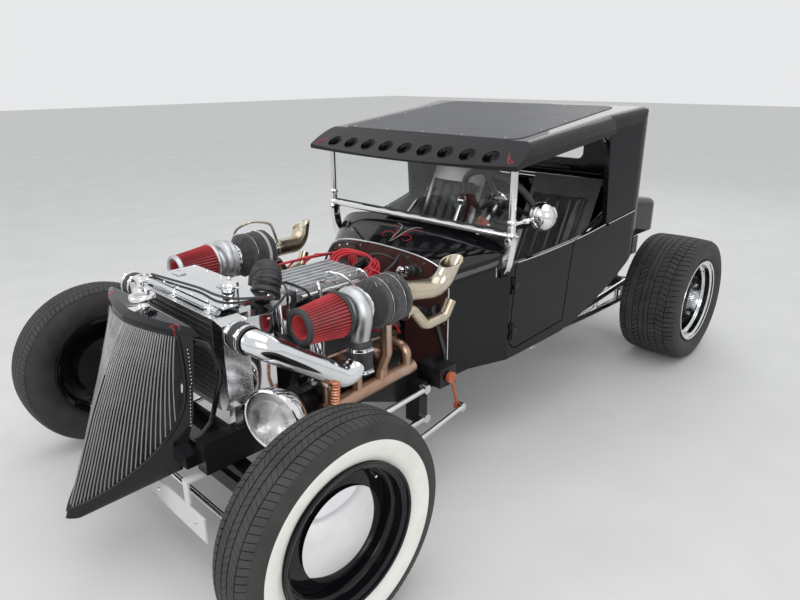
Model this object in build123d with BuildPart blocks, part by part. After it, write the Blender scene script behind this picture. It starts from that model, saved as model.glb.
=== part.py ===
"""A home-built hot rod coupe with an open twin-turbo engine, in named pieces.

Millimetres, Z up. While it is drawn, +X is the car's left, +Y points to its rear, and the origin is on
the ground under the middle of the front axle. Each piece is moved when it is written, so that the
written origin lies under the middle of the car's length.
"""
from build123d import *
import os
from math import atan2, cos, hypot, pi, radians, sin

# Driving sizes of the whole car
wheelbase = 2440.0
front_track_half = 734.0
rear_track_half = 600.0
steel_gap = 0.3
turn_gap = 5.0

# Wheels and tyres
front_tyre_r = 325.0
front_tyre_width = 158.0
rear_tyre_r = 315.0
rear_tyre_width = 300.0
rim_r = 208.0
rim_wall = 7.0
rim_drop_r = 182.0
front_rim_width = 140.0
rear_rim_width = 272.0
front_cap_r = 130.0
cap_edge = 30.0
cap_out = 62.0
hub_r = 62.0
bead_r = rim_r - 14.0
spindle_r = 20.0
spindle_fit = 0.05

# Frame
rail_x = 300.0
rail_width = 50.0
rail_height = 100.0
rail_z = 320.0
rail_front_y = -130.0
front_rail_z = 400.0
drop_start_y = 480.0
drop_end_y = 680.0
kick_start_y = 1500.0
kick_end_y = 1800.0
rear_rail_z = 520.0
rail_tail = 128.0
rail_rear_y = wheelbase + rail_tail
tow_y = rail_rear_y + 32
tow_z = 526.0
rail_bend = 120.0

# Front axle and steering
kingpin_x = 610.0
kingpin_r = 10.0
kingpin_fit = 0.05
axle_drop = 100.0
axle_depth = 52.0
axle_width = 40.0
boss_r = 24.0
boss_height = 72.0
lug_height = 20.0
tie_ball = (kingpin_x, -105.0, 205.0)
drag_ball = (530.0, 100.0, 185.0)
pitman_axis_y = 795.0
pitman_axis_z = 372.0
pitman_ball_y = 838.0
pitman_ball_z = 240.0
pitman_x = 454.0
link_r = 10.0
eye_r = 17.0

# Suspension links
link_x = 400.0
bar_r = 11.0
bar_front_y = 45.0
bar_rear_y = 715.0
bar_front_z = (290.0, 170.0)
bar_rear_z = (335.0, 215.0)
ladder_x = 372.0
ladder_front_y = 1440.0
ladder_front_z = 285.0
ladder_tube_r = 17.0
rear_tube_r = 38.0
diff_r = 140.0
rear_axle_end_x = 480.0
coilover_x = 205.0
coilover_y = 95.0

# Engine bay
engine_front_y = 230.0
engine_rear_y = 720.0
bell_rear_y = 800.0
gearbox_rear_y = 1290.0
gearbox_half = 105.0
gearbox_low_z = 288.0
shaft_front_z = 342.0
spring_seat_z = 325.0
spring_half = 25.0
gearbox_top_z = 455.0
engine_outline = [(90, 215), (115, 330), (160, 390), (235, 470), (268, 545), (238, 612), (128, 668),
                  (45, 575)]
plenum_half = 115.0
plenum_front_y = 370.0
plenum_rear_y = 700.0
plenum_top_z = 740.0
plenum_ribs = 7
cooler_half = 250.0
cooler_tank = 44.0
cooler_front_y = -20.0
cooler_rear_y = 60.0
cooler_low_z = 484.0
cooler_top_z = 776.0
radiator_half = 235.0
radiator_front_y = 76.0
radiator_rear_y = 136.0
radiator_low_z = 430.0
radiator_top_z = 766.0
cover_z = 790.0

# Turbochargers, one row a side: side, height of the shaft
turbo_rows = [(1, 727.0), (-1, 744.0)]
turbo_x = 375.0
filter_front_y = 180.0
filter_rear_y = 340.0
filter_front_r = 57.0
filter_rear_r = 74.0
filter_mouth_r = 40.0
filter_pleats = 30
pleat_depth = 5.0
scroll_y = 384.0
scroll_big_r = 62.0
scroll_tube_r = 29.0
inlet_r = 50.0
blanket_front_y = 448.0
blanket_rear_y = 600.0
blanket_r = 88.0
outlet_shift = 40.0
charge_pipe_r = 38.0
stub_z = 735.0
stub_y = 20.0
stack_r = 36.0
stack_wall = 2.5
stack_bend = 72.0
stack_bend_y = 778.0
stack_mouth_z = 812.0
dump_r = 20.0
dump_wall = 2.0
dump_bend = 26.0
header_r = 21.0

# Body
firewall_y = 900.0
firewall_half = 345.0
firewall_thick = 4.0
firewall_shoulder_z = 665.0
firewall_top_z = 772.0
cowl_rear_y = 1100.0
cowl_rear_half = 486.0
cowl_shoulder_z = 745.0
cowl_top_z = 848.0
body_rear_y = 1960.0
body_rear_half = 624.0
body_corner_r = 110.0
body_wall = 24.0
rear_window_half = 285.0
rear_window_low_z = 1045.0
rear_window_top_z = 1200.0
pillar_y = 1655.0
pillar_base_z = 822.0
door_gap = turn_gap
hinge_y = 1114.0
hinge_r = 7.0
hinge_length = 22.0
hinge_heights = (470.0, 660.0)
roof_slope = 0.115
eave_y = 1020.0
eave_z = 1122.0
roof_thick = 70.0
roof_front_half = 562.0
roof_front_y = 962.0
roof_skin = 22.0
visor_break_y = 1106.0
visor_skin = 14.0
visor_holes = 9
visor_hole_pitch = 106.5
visor_hole_r = 34.0
visor_corner_y = 988.0
visor_drop = 12.0
visor_hole_y = 1020.0
roof_edge_r = 52.0
deck_half = 520.0
deck_rear_y = 2345.0
deck_low_z = 690.0
deck_front_z = 895.0
deck_rear_z = 830.0
deck_corner_r = 110.0
deck_wall = 16.0
floor_z = 380.0
sheet = 6.0
slope_start_y = 1440.0
slope_end_y = 1900.0
slope_end_z = 737.0
tunnel_half = 125.0
tunnel_top_z = 480.0

# Windscreen
screen_y = 1066.0
screen_half = 500.0
screen_low_z = 862.0
screen_tube_r = 12.5
glass_thick = 6.0

# Cab fittings
wheel_centre = (265.0, 1308.0, 938.0)
wheel_rim_r = 160.0
wheel_grip_r = 13.0
column_rake = 28.0
seat_x = 306.0
seat_half = 170.0
seat_front_y = 1210.0
seat_rear_y = 1530.0
seat_pan_z = 470.0
seat_back_top_z = 985.0
seat_back_top_y = 1780.0

# Grille: rows of height, nose, half width and rear edge of the shell's level sections
shell_rows = [(195, -428, 30, -395), (330, -372, 215, -150), (500, -302, 246, -112), (640, -234, 264, -104),
              (757, -168, 278, -98)]
shell_wall = 8.0
bar_pitch = 19.5
bar_pitch_low = 9.5
bar_width = 10.0
bar_width_low = 5.5
ornament_y = -106.0
hoop_r = 8.0
hoop_half = 324.0
hoop_y = cooler_front_y - 20 - hoop_r - steel_gap
bars_a_side = 11

length_low_y = shell_rows[0][1]
length_high_y = wheelbase + rear_tyre_r
middle_y = (length_low_y + length_high_y) / 2
os.makedirs("parts", exist_ok=True)


def write(builder, name):
    """Moves a finished piece to the written origin, labels it and writes its file."""
    piece = builder.part.moved(Location((0, -middle_y, 0)))
    piece.label = name
    export_step(piece, f"parts/{name}.step")


def block(low, high, mode=Mode.ADD):
    """A box between two opposite corners."""
    with Locations([tuple((a + b) / 2 for a, b in zip(low, high))]):
        Box(*(abs(b - a) for a, b in zip(low, high)), mode=mode)


def pipe(points, radius, bend=0, bore=0):
    """A bar, or a pipe where it has a bore, along straight runs joined by bends."""
    with BuildLine() as route:
        if bend:
            FilletPolyline(*points, radius=bend)
        else:
            Polyline(*points)
    line = route.line
    with BuildSketch(Plane(origin=line @ 0, z_dir=line % 0)) as section:
        Circle(radius)
        if bore:
            Circle(bore, mode=Mode.SUBTRACT)
    sweep(section.sketch, path=line)


def disc(centre, direction, radius, thick, mode=Mode.ADD):
    """A round disc or pin whose first face is at the centre point."""
    with BuildSketch(Plane(origin=centre, z_dir=direction)) as face:
        Circle(radius)
    extrude(face.sketch, amount=thick, mode=mode)


def side_wall_x(y):
    """Outside half width of the body at a place along the car."""
    if y < cowl_rear_y:
        share = (y - firewall_y) / (cowl_rear_y - firewall_y)
        return firewall_half + share * (cowl_rear_half - firewall_half)
    share = (y - cowl_rear_y) / (body_rear_y - cowl_rear_y)
    return cowl_rear_half + share * (body_rear_half - cowl_rear_half)


def floor_height(y):
    """Height of the floor pan's upper face."""
    if y < slope_start_y:
        return floor_z
    return floor_z + sheet + (slope_end_z - floor_z) * (y - slope_start_y + 3) / (slope_end_y - slope_start_y)


def floor_under(y):
    """Height of the floor pan's lower face."""
    if y < slope_start_y:
        return floor_z
    return floor_z + (slope_end_z - floor_z) * (y - slope_start_y) / (slope_end_y - slope_start_y)


def arch_curve(half, shoulder, top):
    """The cowl's crown from shoulder to shoulder, flat on top with round corners."""
    ups = [(1, 0), (0.975, 0.36), (0.90, 0.62), (0.76, 0.81), (0.5, 0.94)]
    places = [(half * x, shoulder + (top - shoulder) * z) for x, z in ups]
    Spline(*places, (0, top), *[(-x, z) for x, z in reversed(places)])


def eave(y):
    """Height of the roof's lower edge."""
    return eave_z + roof_slope * (y - eave_y)


# Frame: two rails kicked up over the rear axle, with crossmembers, mounts and brackets fitted between
with BuildPart() as frame:
    with BuildLine() as rail_line:
        FilletPolyline((rail_x, rail_front_y, front_rail_z), (rail_x, drop_start_y, front_rail_z),
                       (rail_x, drop_end_y, rail_z), (rail_x, kick_start_y, rail_z),
                       (rail_x, kick_end_y, rear_rail_z), (rail_x, rail_rear_y, rear_rail_z),
                       radius=rail_bend)
    with BuildSketch(Plane(origin=rail_line.line @ 0, x_dir=(1, 0, 0), z_dir=(0, 1, 0))):
        Rectangle(rail_width, rail_height)
    sweep(path=rail_line.line)
    rail_top = rail_z + rail_height / 2
    front_rail_top = front_rail_z + rail_height / 2
    rail_low_z = front_rail_z - rail_height / 2 - steel_gap
    rail_out = rail_x + rail_width / 2
    rail_in = rail_x - rail_width / 2
    block((rail_out - 5, bar_rear_y - 22, bar_rear_z[1] - 25),
          (link_x - bar_r - steel_gap, bar_rear_y + 22, bar_rear_z[0] + 20))
    block((rail_out, ladder_front_y - 25, ladder_front_z - 35),
          (ladder_x - ladder_tube_r, ladder_front_y + 25, rail_z + 20))
    block((170 + steel_gap, 430, front_rail_z - 40), (rail_in - steel_gap, 480, front_rail_z))
    for y, z in ((960, rail_top), (1880, rear_rail_z + rail_height / 2)):
        block((rail_x - 20, y, z + steel_gap), (rail_x + 20, y + 40, floor_under(y) - steel_gap))
    mirror(about=Plane.YZ)
    cross_rows = [(-40, 40, spring_seat_z, front_rail_z - 20),
                  (1020, 1080, gearbox_low_z - 30, gearbox_low_z - steel_gap),
                  (1395, 1445, rail_z - 62, rail_z - 25), (2130, 2180, rear_rail_z - 20, rear_rail_z + 40),
                  (wheelbase + 73, wheelbase + 123, rear_rail_z - 30, rear_rail_z + 40)]
    for y0, y1, z0, z1 in cross_rows:
        block((-rail_in + steel_gap, y0, z0), (rail_in - steel_gap, y1, z1))
    block((-28, wheelbase + 118, tow_z - 6), (28, tow_y + 28, tow_z + 6))
    disc((0, tow_y, tow_z - 10), (0, 0, 1), 12, 20, Mode.SUBTRACT)

# Front axle: dropped beam with kingpin bosses, spring pack, shackles and link brackets
axle_low_z = front_tyre_r - axle_drop
with BuildPart() as front_axle:
    with BuildLine() as beam_line:
        FilletPolyline((-kingpin_x, 0, front_tyre_r), (-kingpin_x + 40, 0, front_tyre_r),
                       (-490, 0, axle_low_z), (490, 0, axle_low_z),
                       (kingpin_x - 40, 0, front_tyre_r), (kingpin_x, 0, front_tyre_r), radius=38)
    with BuildSketch(Plane(origin=beam_line.line @ 0, x_dir=(0, 1, 0), z_dir=(1, 0, 0))):
        Rectangle(axle_width, axle_depth)
    sweep(path=beam_line.line)
    for side in (-1, 1):
        disc((side * kingpin_x, 0, front_tyre_r - boss_height / 2), (0, 0, 1), boss_r, boss_height)
        disc((side * kingpin_x, 0, front_tyre_r - boss_height), (0, 0, 1), kingpin_r + kingpin_fit,
             2 * boss_height, Mode.SUBTRACT)
        eye_in = side * (link_x - bar_r - steel_gap)
        block((eye_in - side * 14, -20, bar_front_z[1] - 22), (eye_in, bar_front_y + 18, bar_front_z[0] + 20))
        block((side * 415, -16, axle_low_z + 20), (side * 440, 16, 300))
    with BuildSketch(Plane.XZ.offset(-spring_half)):
        with BuildLine():
            ThreePointArc((-430, 300), (0, spring_seat_z - steel_gap), (430, 300))
            Line((430, 300), (430, 286))
            ThreePointArc((430, 286), (0, 292), (-430, 286))
            Line((-430, 286), (-430, 300))
        make_face()
    extrude(amount=2 * spring_half)

# Four polished radius rods and two ladder bars
with BuildPart() as suspension_links:
    for front_z, rear_z in zip(bar_front_z, bar_rear_z):
        pipe([(link_x, bar_front_y, front_z), (link_x, bar_rear_y, rear_z)], bar_r)
        for y, z in ((bar_front_y, front_z), (bar_rear_y, rear_z)):
            disc((link_x - bar_r, y, z), (1, 0, 0), eye_r, 2 * bar_r)
    bar_end_y = wheelbase - rear_tube_r - 34
    for end_z in (rear_tyre_r + 48, rear_tyre_r - 48):
        pipe([(ladder_x, ladder_front_y, ladder_front_z), (ladder_x, bar_end_y, end_z)], ladder_tube_r)
    for share in (0.35, 0.65, 0.9):
        y = ladder_front_y + share * (bar_end_y - ladder_front_y)
        middle = ladder_front_z + share * (rear_tyre_r - ladder_front_z)
        pipe([(ladder_x, y, middle - share * 48), (ladder_x, y, middle + share * 48)], 11)
    disc((ladder_x - ladder_tube_r, ladder_front_y, ladder_front_z), (1, 0, 0), 26, 2 * ladder_tube_r)
    block((ladder_x - 20, bar_end_y - 6, rear_tyre_r - 68), (ladder_x + 20, wheelbase - rear_tube_r + 8,
                                                            rear_tyre_r + 68))
    disc((0, wheelbase, rear_tyre_r), (1, 0, 0), rear_tube_r + steel_gap, 600, Mode.SUBTRACT)
    mirror(about=Plane.YZ)

# Rear axle with its differential, shaft tube and coil-over dampers
with BuildPart() as rear_axle:
    pipe([(-rear_axle_end_x, wheelbase, rear_tyre_r), (rear_axle_end_x, wheelbase, rear_tyre_r)], rear_tube_r)
    spindle_end = rear_axle_end_x + 70
    pipe([(-spindle_end, wheelbase, rear_tyre_r), (spindle_end, wheelbase, rear_tyre_r)], spindle_r)
    for side in (-1, 1):
        disc((side * (rear_axle_end_x - 12), wheelbase, rear_tyre_r), (side, 0, 0), 128, 6)
    with BuildSketch(Plane(origin=(0, wheelbase, rear_tyre_r), x_dir=(0, 1, 0), z_dir=(1, 0, 0)).offset(-80)):
        Circle(diff_r)
    extrude(amount=160)
    fillet([e for e in rear_axle.edges().filter_by(GeomType.CIRCLE) if abs(e.radius - diff_r) < 1], 45)
    pipe([(0, gearbox_rear_y + 1, shaft_front_z), (0, wheelbase - 60, rear_tyre_r)], 38)
    for side in (-1, 1):
        x = side * coilover_x
        block((x - 16, wheelbase, rear_tyre_r - 30), (x + 16, wheelbase + coilover_y + 20, rear_tyre_r + 5))
        pipe([(x, wheelbase + coilover_y, rear_tyre_r - 10),
              (x, wheelbase + coilover_y, rear_rail_z - 30 - steel_gap)], 40)

# Engine: block, heads, bell housing and gearbox in one, with pulley bosses
with BuildPart() as engine:
    with BuildSketch(Plane.XZ.offset(-engine_front_y)):
        Polygon(*engine_outline, *[(-x, z) for x, z in reversed(engine_outline)], align=None)
    extrude(amount=-(engine_rear_y - engine_front_y))
    disc((0, engine_rear_y, 390), (0, 1, 0), 185, bell_rear_y - engine_rear_y)
    block((-gearbox_half, bell_rear_y, gearbox_low_z), (gearbox_half, gearbox_rear_y, gearbox_top_z))
    disc((0, engine_front_y, 300), (0, -1, 0), 82, 40)
    disc((120, engine_front_y, 430), (0, -1, 0), 55, 40)
    disc((-120, engine_front_y, 430), (0, -1, 0), 55, 40)

# Ribbed intake cover over the valley
with BuildPart() as plenum:
    with BuildSketch(Plane.XZ.offset(-plenum_front_y)):
        Polygon((38, 575 + steel_gap), (100, 672), (plenum_half, 692), (plenum_half, plenum_top_z - 8),
                (-plenum_half, plenum_top_z - 8), (-plenum_half, 692), (-100, 672), (-38, 575 + steel_gap),
                align=None)
    extrude(amount=-(plenum_rear_y - plenum_front_y))
    rib_pitch = (2 * plenum_half - 40) / (plenum_ribs - 1)
    for n in range(plenum_ribs):
        x = -plenum_half + 20 + n * rib_pitch
        block((x - 5, plenum_front_y + 15, plenum_top_z - 10), (x + 5, plenum_rear_y - 15, plenum_top_z))

# Exhaust manifold pipes, from four ports on each bank to the turbine inlet
def off_head(share, out):
    """A point beside the head's port face, some way along it and some way off it."""
    (xa, za), (xb, zb) = engine_outline[3], engine_outline[4]
    length = hypot(xb - xa, zb - za)
    return (xa + share * (xb - xa) + out * (zb - za) / length,
            za + share * (zb - za) - out * (xb - xa) / length)


flange_outline = [off_head(share, out) for share, out in ((0.05, steel_gap), (0.95, steel_gap), (0.95, 12),
                                                          (0.05, 12))]
port_rows = [(300, 500), (420, 512), (540, 512), (660, 505)]
with BuildPart() as headers:
    for side, shaft_z in turbo_rows:
        inlet = (side * turbo_x, 540, shaft_z - blanket_r - steel_gap)
        x0, x1 = side * 264, side * 352
        with BuildSketch(Plane.XZ.offset(-port_rows[0][0] + 40)):
            Polygon(*[(side * x, z) for x, z in flange_outline], align=None)
        extrude(amount=-(port_rows[-1][0] - port_rows[0][0] + 80))
        for y, z in port_rows:
            pipe([(x0, y, z), (x1, y, z), (x1, y, 415)], header_r, 30)
        x2 = x1 + side * 2
        pipe([(x2, port_rows[-1][0] + 30, 425), (x2, port_rows[0][0] - 30, 405)], header_r + 5)
        pipe([(x2, 520, 415), (x2, 530, 470), (side * turbo_x, 540, 530), inlet], header_r, 20)

# Turbo housings: a scroll with its outlet turned down, and the bearing housing behind it
with BuildPart() as turbo_housings:
    for side, z in turbo_rows:
        with Locations(Location((side * turbo_x, scroll_y, z), (90, 0, 0))):
            Torus(scroll_big_r, scroll_tube_r)
        disc((side * turbo_x, filter_rear_y + steel_gap, z), (0, 1, 0), inlet_r,
             blanket_front_y - filter_rear_y - 2 * steel_gap)
        x_out = side * (turbo_x + outlet_shift)
        pipe([(x_out, scroll_y, z - 40), (x_out, scroll_y, z - 100)], charge_pipe_r - 8)

# Quilted blankets round the turbines
with BuildPart() as turbo_blankets:
    for side, z in turbo_rows:
        disc((side * turbo_x, blanket_front_y, z), (0, 1, 0), blanket_r, blanket_rear_y - blanket_front_y)
    fillet(turbo_blankets.edges().filter_by(GeomType.CIRCLE), 14)

# Pleated cone filters with an open nose
with BuildPart() as air_filters:
    for side, z in turbo_rows:
        ends = []
        for y, r in ((filter_front_y + 12, filter_front_r), (filter_rear_y - 8, filter_rear_r)):
            with BuildSketch(Plane(origin=(side * turbo_x, y, z), x_dir=(1, 0, 0), z_dir=(0, 1, 0))) as star:
                steps = 2 * filter_pleats
                Polygon(*[((r - pleat_depth * (n % 2)) * cos(2 * pi * n / steps),
                           (r - pleat_depth * (n % 2)) * sin(2 * pi * n / steps))
                          for n in range(steps)], align=None)
            ends.append(star.sketch.faces()[0])
        loft(ends, ruled=True)
        disc((side * turbo_x, filter_front_y, z), (0, 1, 0), filter_front_r + 1, 14)
        disc((side * turbo_x, filter_rear_y - 10, z), (0, 1, 0), filter_rear_r + 1, 10)
        disc((side * turbo_x, filter_front_y, z), (0, 1, 0), filter_mouth_r, 100, Mode.SUBTRACT)

# Exhaust stacks and the smaller dump pipes under them, open at their mouths
with BuildPart() as exhausts:
    for side, z in turbo_rows:
        x = side * turbo_x
        pipe([(x, blanket_rear_y + steel_gap, z), (x, blanket_rear_y + 40, z),
              (x + side * 32, stack_bend_y, z - 12), (x + side * 70, stack_bend_y + 62, stack_mouth_z + 70)],
             stack_r, stack_bend, stack_r - stack_wall)
        mouth = (x + side * 62, stack_bend_y + 48, stack_mouth_z)
        with Locations(Plane(origin=mouth, z_dir=(side * 0.12, -0.32, 0.94)).offset(60).location):
            Box(200, 200, 120, mode=Mode.SUBTRACT)
        pipe([(x + side * 20, blanket_rear_y + steel_gap, z - 62), (x + side * 20, 648, z - 62),
              (x + side * 34, 700, z - 132), (x + side * 46, 790, z - 118), (x + side * 52, 818, z - 62)],
             dump_r, dump_bend, dump_r - dump_wall)

# Charge pipes from the scroll outlets forward and up to the cooler
with BuildPart() as charge_pipes:
    for side, z in turbo_rows:
        x_out = side * (turbo_x + outlet_shift)
        stub = cooler_half + cooler_tank
        pipe([(side * (stub + steel_gap), stub_y, stub_z), (side * (stub + 110), stub_y, stub_z),
              (x_out, scroll_y, z - 240), (x_out, scroll_y, z - 100 - steel_gap)], charge_pipe_r, 58)

# Charge cooler: finned core, cast end tanks, top bar and feet on the rails
with BuildPart() as intercooler:
    block((-cooler_half, cooler_front_y, cooler_low_z), (cooler_half, cooler_rear_y, cooler_top_z))
    fin_count = 14
    fin_pitch = (cooler_top_z - cooler_low_z - 30) / fin_count
    for n in range(fin_count):
        z = cooler_low_z + 15 + (n + 0.5) * fin_pitch
        block((-cooler_half + 12, cooler_front_y - 1, z - 3), (cooler_half - 12, cooler_front_y + 8, z + 3),
              Mode.SUBTRACT)
    for side in (-1, 1):
        with BuildSketch(Plane.XZ.offset(-cooler_front_y)) as tank:
            inner = side * cooler_half
            outer = side * (cooler_half + cooler_tank)
            Polygon((inner, cooler_low_z), (outer, cooler_low_z + 20), (outer, cooler_top_z - 10),
                    (inner, cooler_top_z), align=None)
        extrude(amount=-(cooler_rear_y - cooler_front_y))
        block((side * (rail_x - 20), cooler_front_y + 5, front_rail_top), (side * (rail_x + 10),
              cooler_front_y + 30, cooler_low_z + 34))

# Radiator with its cover plate and filler neck
with BuildPart() as radiator:
    block((-radiator_half, radiator_front_y, radiator_low_z),
          (radiator_half, radiator_rear_y, radiator_top_z))
    block((-radiator_half, 20, cover_z), (radiator_half, 195, cover_z + 4))
    block((-radiator_half + 20, radiator_front_y + 10, radiator_top_z - 5),
          (radiator_half - 20, radiator_rear_y - 10, cover_z + 2))
    disc((150, 100, cover_z), (0, 0, 1), 26, 30)
    for side in (-1, 1):
        block((side * (radiator_half - 30), radiator_front_y + 15, radiator_low_z),
              (side * rail_in, radiator_rear_y - 15, radiator_low_z + 12))

# Grille shell: a bow of level sections, hollow and open behind, with the bar opening cut
def level_section(z, nose, half, rear, shrink=0.0):
    """One level section of the shell, a rounded V with its open side to the rear."""
    with BuildSketch(Plane.XY.offset(z)) as level:
        with BuildLine():
            tip = (0, nose + shrink * 1.6)
            side_point = (half - shrink, rear + (0 if shrink == 0 else 30))
            mid = ((half - shrink) * 0.62, nose + shrink * 1.5 + (rear - nose) * 0.42)
            ThreePointArc(tip, mid, side_point)
            Line(side_point, (-side_point[0], side_point[1]))
            ThreePointArc((-side_point[0], side_point[1]), (-mid[0], mid[1]), tip)
        make_face()
    return level.sketch.faces()[0]


with BuildPart() as bow:
    loft([level_section(*row) for row in shell_rows], ruled=True)
with BuildPart() as bow_inner:
    loft([level_section(*row, shrink=shell_wall) for row in shell_rows], ruled=True)
with BuildPart() as bow_core:
    loft([level_section(*row, shrink=3 * shell_wall) for row in shell_rows], ruled=True)

# The bar opening seen from ahead: top corners, sides that sweep in, and a point at the bottom
with BuildPart() as opening:
    with BuildSketch(Plane.XZ.offset(700)):
        with BuildLine():
            Line((-228, 748), (228, 748))
            ThreePointArc((228, 748), (206, 460), (0, 222))
            ThreePointArc((0, 222), (-206, 460), (-228, 748))
        make_face()
    extrude(amount=-700)

with BuildPart() as grille_shell:
    add(bow.part)
    add(bow_inner.part, mode=Mode.SUBTRACT)
    add(opening.part, mode=Mode.SUBTRACT)
    cap_z, cap_nose, cap_half, cap_rear = shell_rows[-1]
    loft([level_section(cap_z, cap_nose - 4, cap_half + 14, cap_rear + 8),
          level_section(cap_z + 9, cap_nose - 2, cap_half + 12, cap_rear + 8),
          level_section(cap_z + 20, cap_nose + 22, cap_half - 18, cap_rear + 8)], ruled=True)
    for z, r, high in ((cap_z + 18, 14, 30), (cap_z + 43, 36, 12), (cap_z + 54, 24, 18), (cap_z + 70, 9, 30)):
        disc((0, ornament_y, z), (0, 0, 1), r, high)
    for side in (-1, 1):
        pipe([(side * 222, -120, 744), (side * 300, -66, 730), (side * hoop_half, hoop_y, 650),
              (side * 228, hoop_y, 455), (side * 114, hoop_y, 338)], hoop_r, 30)
    for side in (-1, 1):
        block((side * (rail_x - 78), rail_front_y - 45, front_rail_z - 20),
              (side * rail_x, rail_front_y, front_rail_z + 20))

with BuildPart() as slabs:
    for n in range(-bars_a_side, bars_a_side + 1):
        with BuildSketch(Plane.XZ):
            low_x, high_x = n * bar_pitch_low, n * bar_pitch
            Polygon((low_x - bar_width_low / 2, shell_rows[0][0]), (low_x + bar_width_low / 2, shell_rows[0][0]),
                    (high_x + bar_width / 2, cap_z), (high_x - bar_width / 2, cap_z), align=None)
        extrude(amount=600)
with BuildPart() as grille_bars:
    add(bow_inner.part)
    add(bow_core.part, mode=Mode.SUBTRACT)
    add(opening.part, mode=Mode.INTERSECT)
    add(slabs.part, mode=Mode.INTERSECT)

# Headlamps on short stalks from the rails
lamp_r = 97.0
lamp_centre = (432.0, 30.0, 503.0)
lamp_turn = 18.0
with BuildPart() as headlamps:
    aim = Vector(sin(radians(lamp_turn)), -cos(radians(lamp_turn)), 0)
    lamp_plane = Plane(origin=Vector(*lamp_centre), x_dir=(0, 0, 1), z_dir=aim)
    with BuildSketch(lamp_plane):
        Circle(lamp_r)
    extrude(amount=-22)
    with BuildSketch(lamp_plane.offset(-22)):
        Circle(lamp_r - 6)
    with BuildSketch(lamp_plane.offset(-105)):
        Circle(45)
    loft()
    pipe([(rail_out, 95, front_rail_z + 20), (lamp_centre[0] - 30, 95, front_rail_z + 20),
          (lamp_centre[0] - 30, 95, lamp_centre[2] - 50)], 10, 15)
    mirror(about=Plane.YZ)

# Blank number plate, bolted through two holes to a strap from the rail
with BuildPart() as licence_plate:
    block((60, -190, 190), (400, -187, 275))
    block((285, -188, 200), (315, -182, rail_low_z))
    block((285, -188, rail_low_z - 6), (315, rail_front_y + 40, rail_low_z))
    for x in (120, 340):
        disc((x, -195, 232.5), (0, 1, 0), 3, 30, Mode.SUBTRACT)

# Firewall sheet with its gearbox cut-out
with BuildPart() as firewall:
    with BuildSketch(Plane.XZ.offset(-firewall_y)):
        with BuildLine():
            Line((-firewall_half, 300), (firewall_half, 300))
            Line((firewall_half, 300), (firewall_half, firewall_shoulder_z))
            arch_curve(firewall_half, firewall_shoulder_z, firewall_top_z)
            Line((-firewall_half, firewall_shoulder_z), (-firewall_half, 300))
        make_face()
        with Locations((0, 300)):
            Rectangle(2 * tunnel_half - 2 * sheet, 2 * (tunnel_top_z - sheet - 300), mode=Mode.SUBTRACT)
    extrude(amount=firewall_thick)
    for side in (-1, 1):
        block((side * (rail_in - 1), firewall_y - 10, 0), (side * (firewall_half + 1), firewall_y + 10,
                                                          rail_top + steel_gap), Mode.SUBTRACT)

# Body tub: cowl, sides, quarters and rear wall, with door openings, side windows and rear window
door_outline = [(1128, 900), (1104, 382), (1421, 442), (1468, 900)]


def plan_face(grow=0.0):
    """The body's outline from above, at its outer face or further in."""
    with BuildSketch(Plane.XY) as plan:
        Polygon((firewall_half + grow, firewall_y), (cowl_rear_half + grow, cowl_rear_y),
                (body_rear_half + grow, body_rear_y + grow), (-body_rear_half - grow, body_rear_y + grow),
                (-cowl_rear_half - grow, cowl_rear_y), (-firewall_half - grow, firewall_y), align=None)
        fillet(plan.vertices().group_by(Axis.Y)[-1], body_corner_r + grow)
    return plan.sketch.faces()[0]


def side_face(z_shift=0.0):
    """The body side as seen from the left: sill, wheel arch sweep, quarter, pillar and belt."""
    with BuildSketch(Plane.YZ.offset(-800)) as side:
        with BuildLine():
            Polyline((firewall_y, 310), (1100, 352), (1280, 375), (1416, 395))
            ThreePointArc((1416, 395), (1650, 500), (body_rear_y - 40, 700))
            Line((body_rear_y - 40, 700), (body_rear_y + 5, 712))
            Line((body_rear_y + 5, 712), (body_rear_y + 5, eave(body_rear_y + 5)))
            Line((body_rear_y + 5, eave(body_rear_y + 5)), (pillar_y - 30, eave(pillar_y - 30)))
            Line((pillar_y - 30, eave(pillar_y - 30)), (pillar_y, pillar_base_z))
            ThreePointArc((pillar_y, pillar_base_z), (1390, 773), (cowl_rear_y, cowl_shoulder_z))
            Line((cowl_rear_y, cowl_shoulder_z), (firewall_y, firewall_shoulder_z))
            Line((firewall_y, firewall_shoulder_z), (firewall_y, 310))
        make_face()
    return side.sketch.faces()[0]


def arch_face(y, half, shoulder, top, shrink):
    """One cross section of the cowl's top."""
    with BuildSketch(Plane.XZ.offset(-y)) as arch:
        with BuildLine():
            Line((-half + shrink, shoulder - shrink), (half - shrink, shoulder - shrink))
            arch_curve(half - shrink, shoulder - shrink, top - shrink)
        make_face()
    return arch.sketch.faces()[0]


with BuildPart() as shell_walls:
    extrude(plan_face(), amount=1400, dir=(0, 0, 1))
    extrude(plan_face(-body_wall), amount=1400, dir=(0, 0, 1), mode=Mode.SUBTRACT)
    block((-firewall_half + body_wall, firewall_y - 5, 0), (firewall_half - body_wall, firewall_y + 60, 1400),
          Mode.SUBTRACT)
with BuildPart() as side_cut:
    extrude(side_face(), amount=1600)
with BuildPart() as door_cut:
    with BuildSketch(Plane.YZ.offset(-800)) as door_shape:
        Polygon(*door_outline, align=None)
        fillet(door_shape.vertices().group_by(Axis.Y)[0] + [v for v in door_shape.vertices() if v.Z < 500
               and v.Y > 1300], 42)
    extrude(amount=1600)

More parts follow.
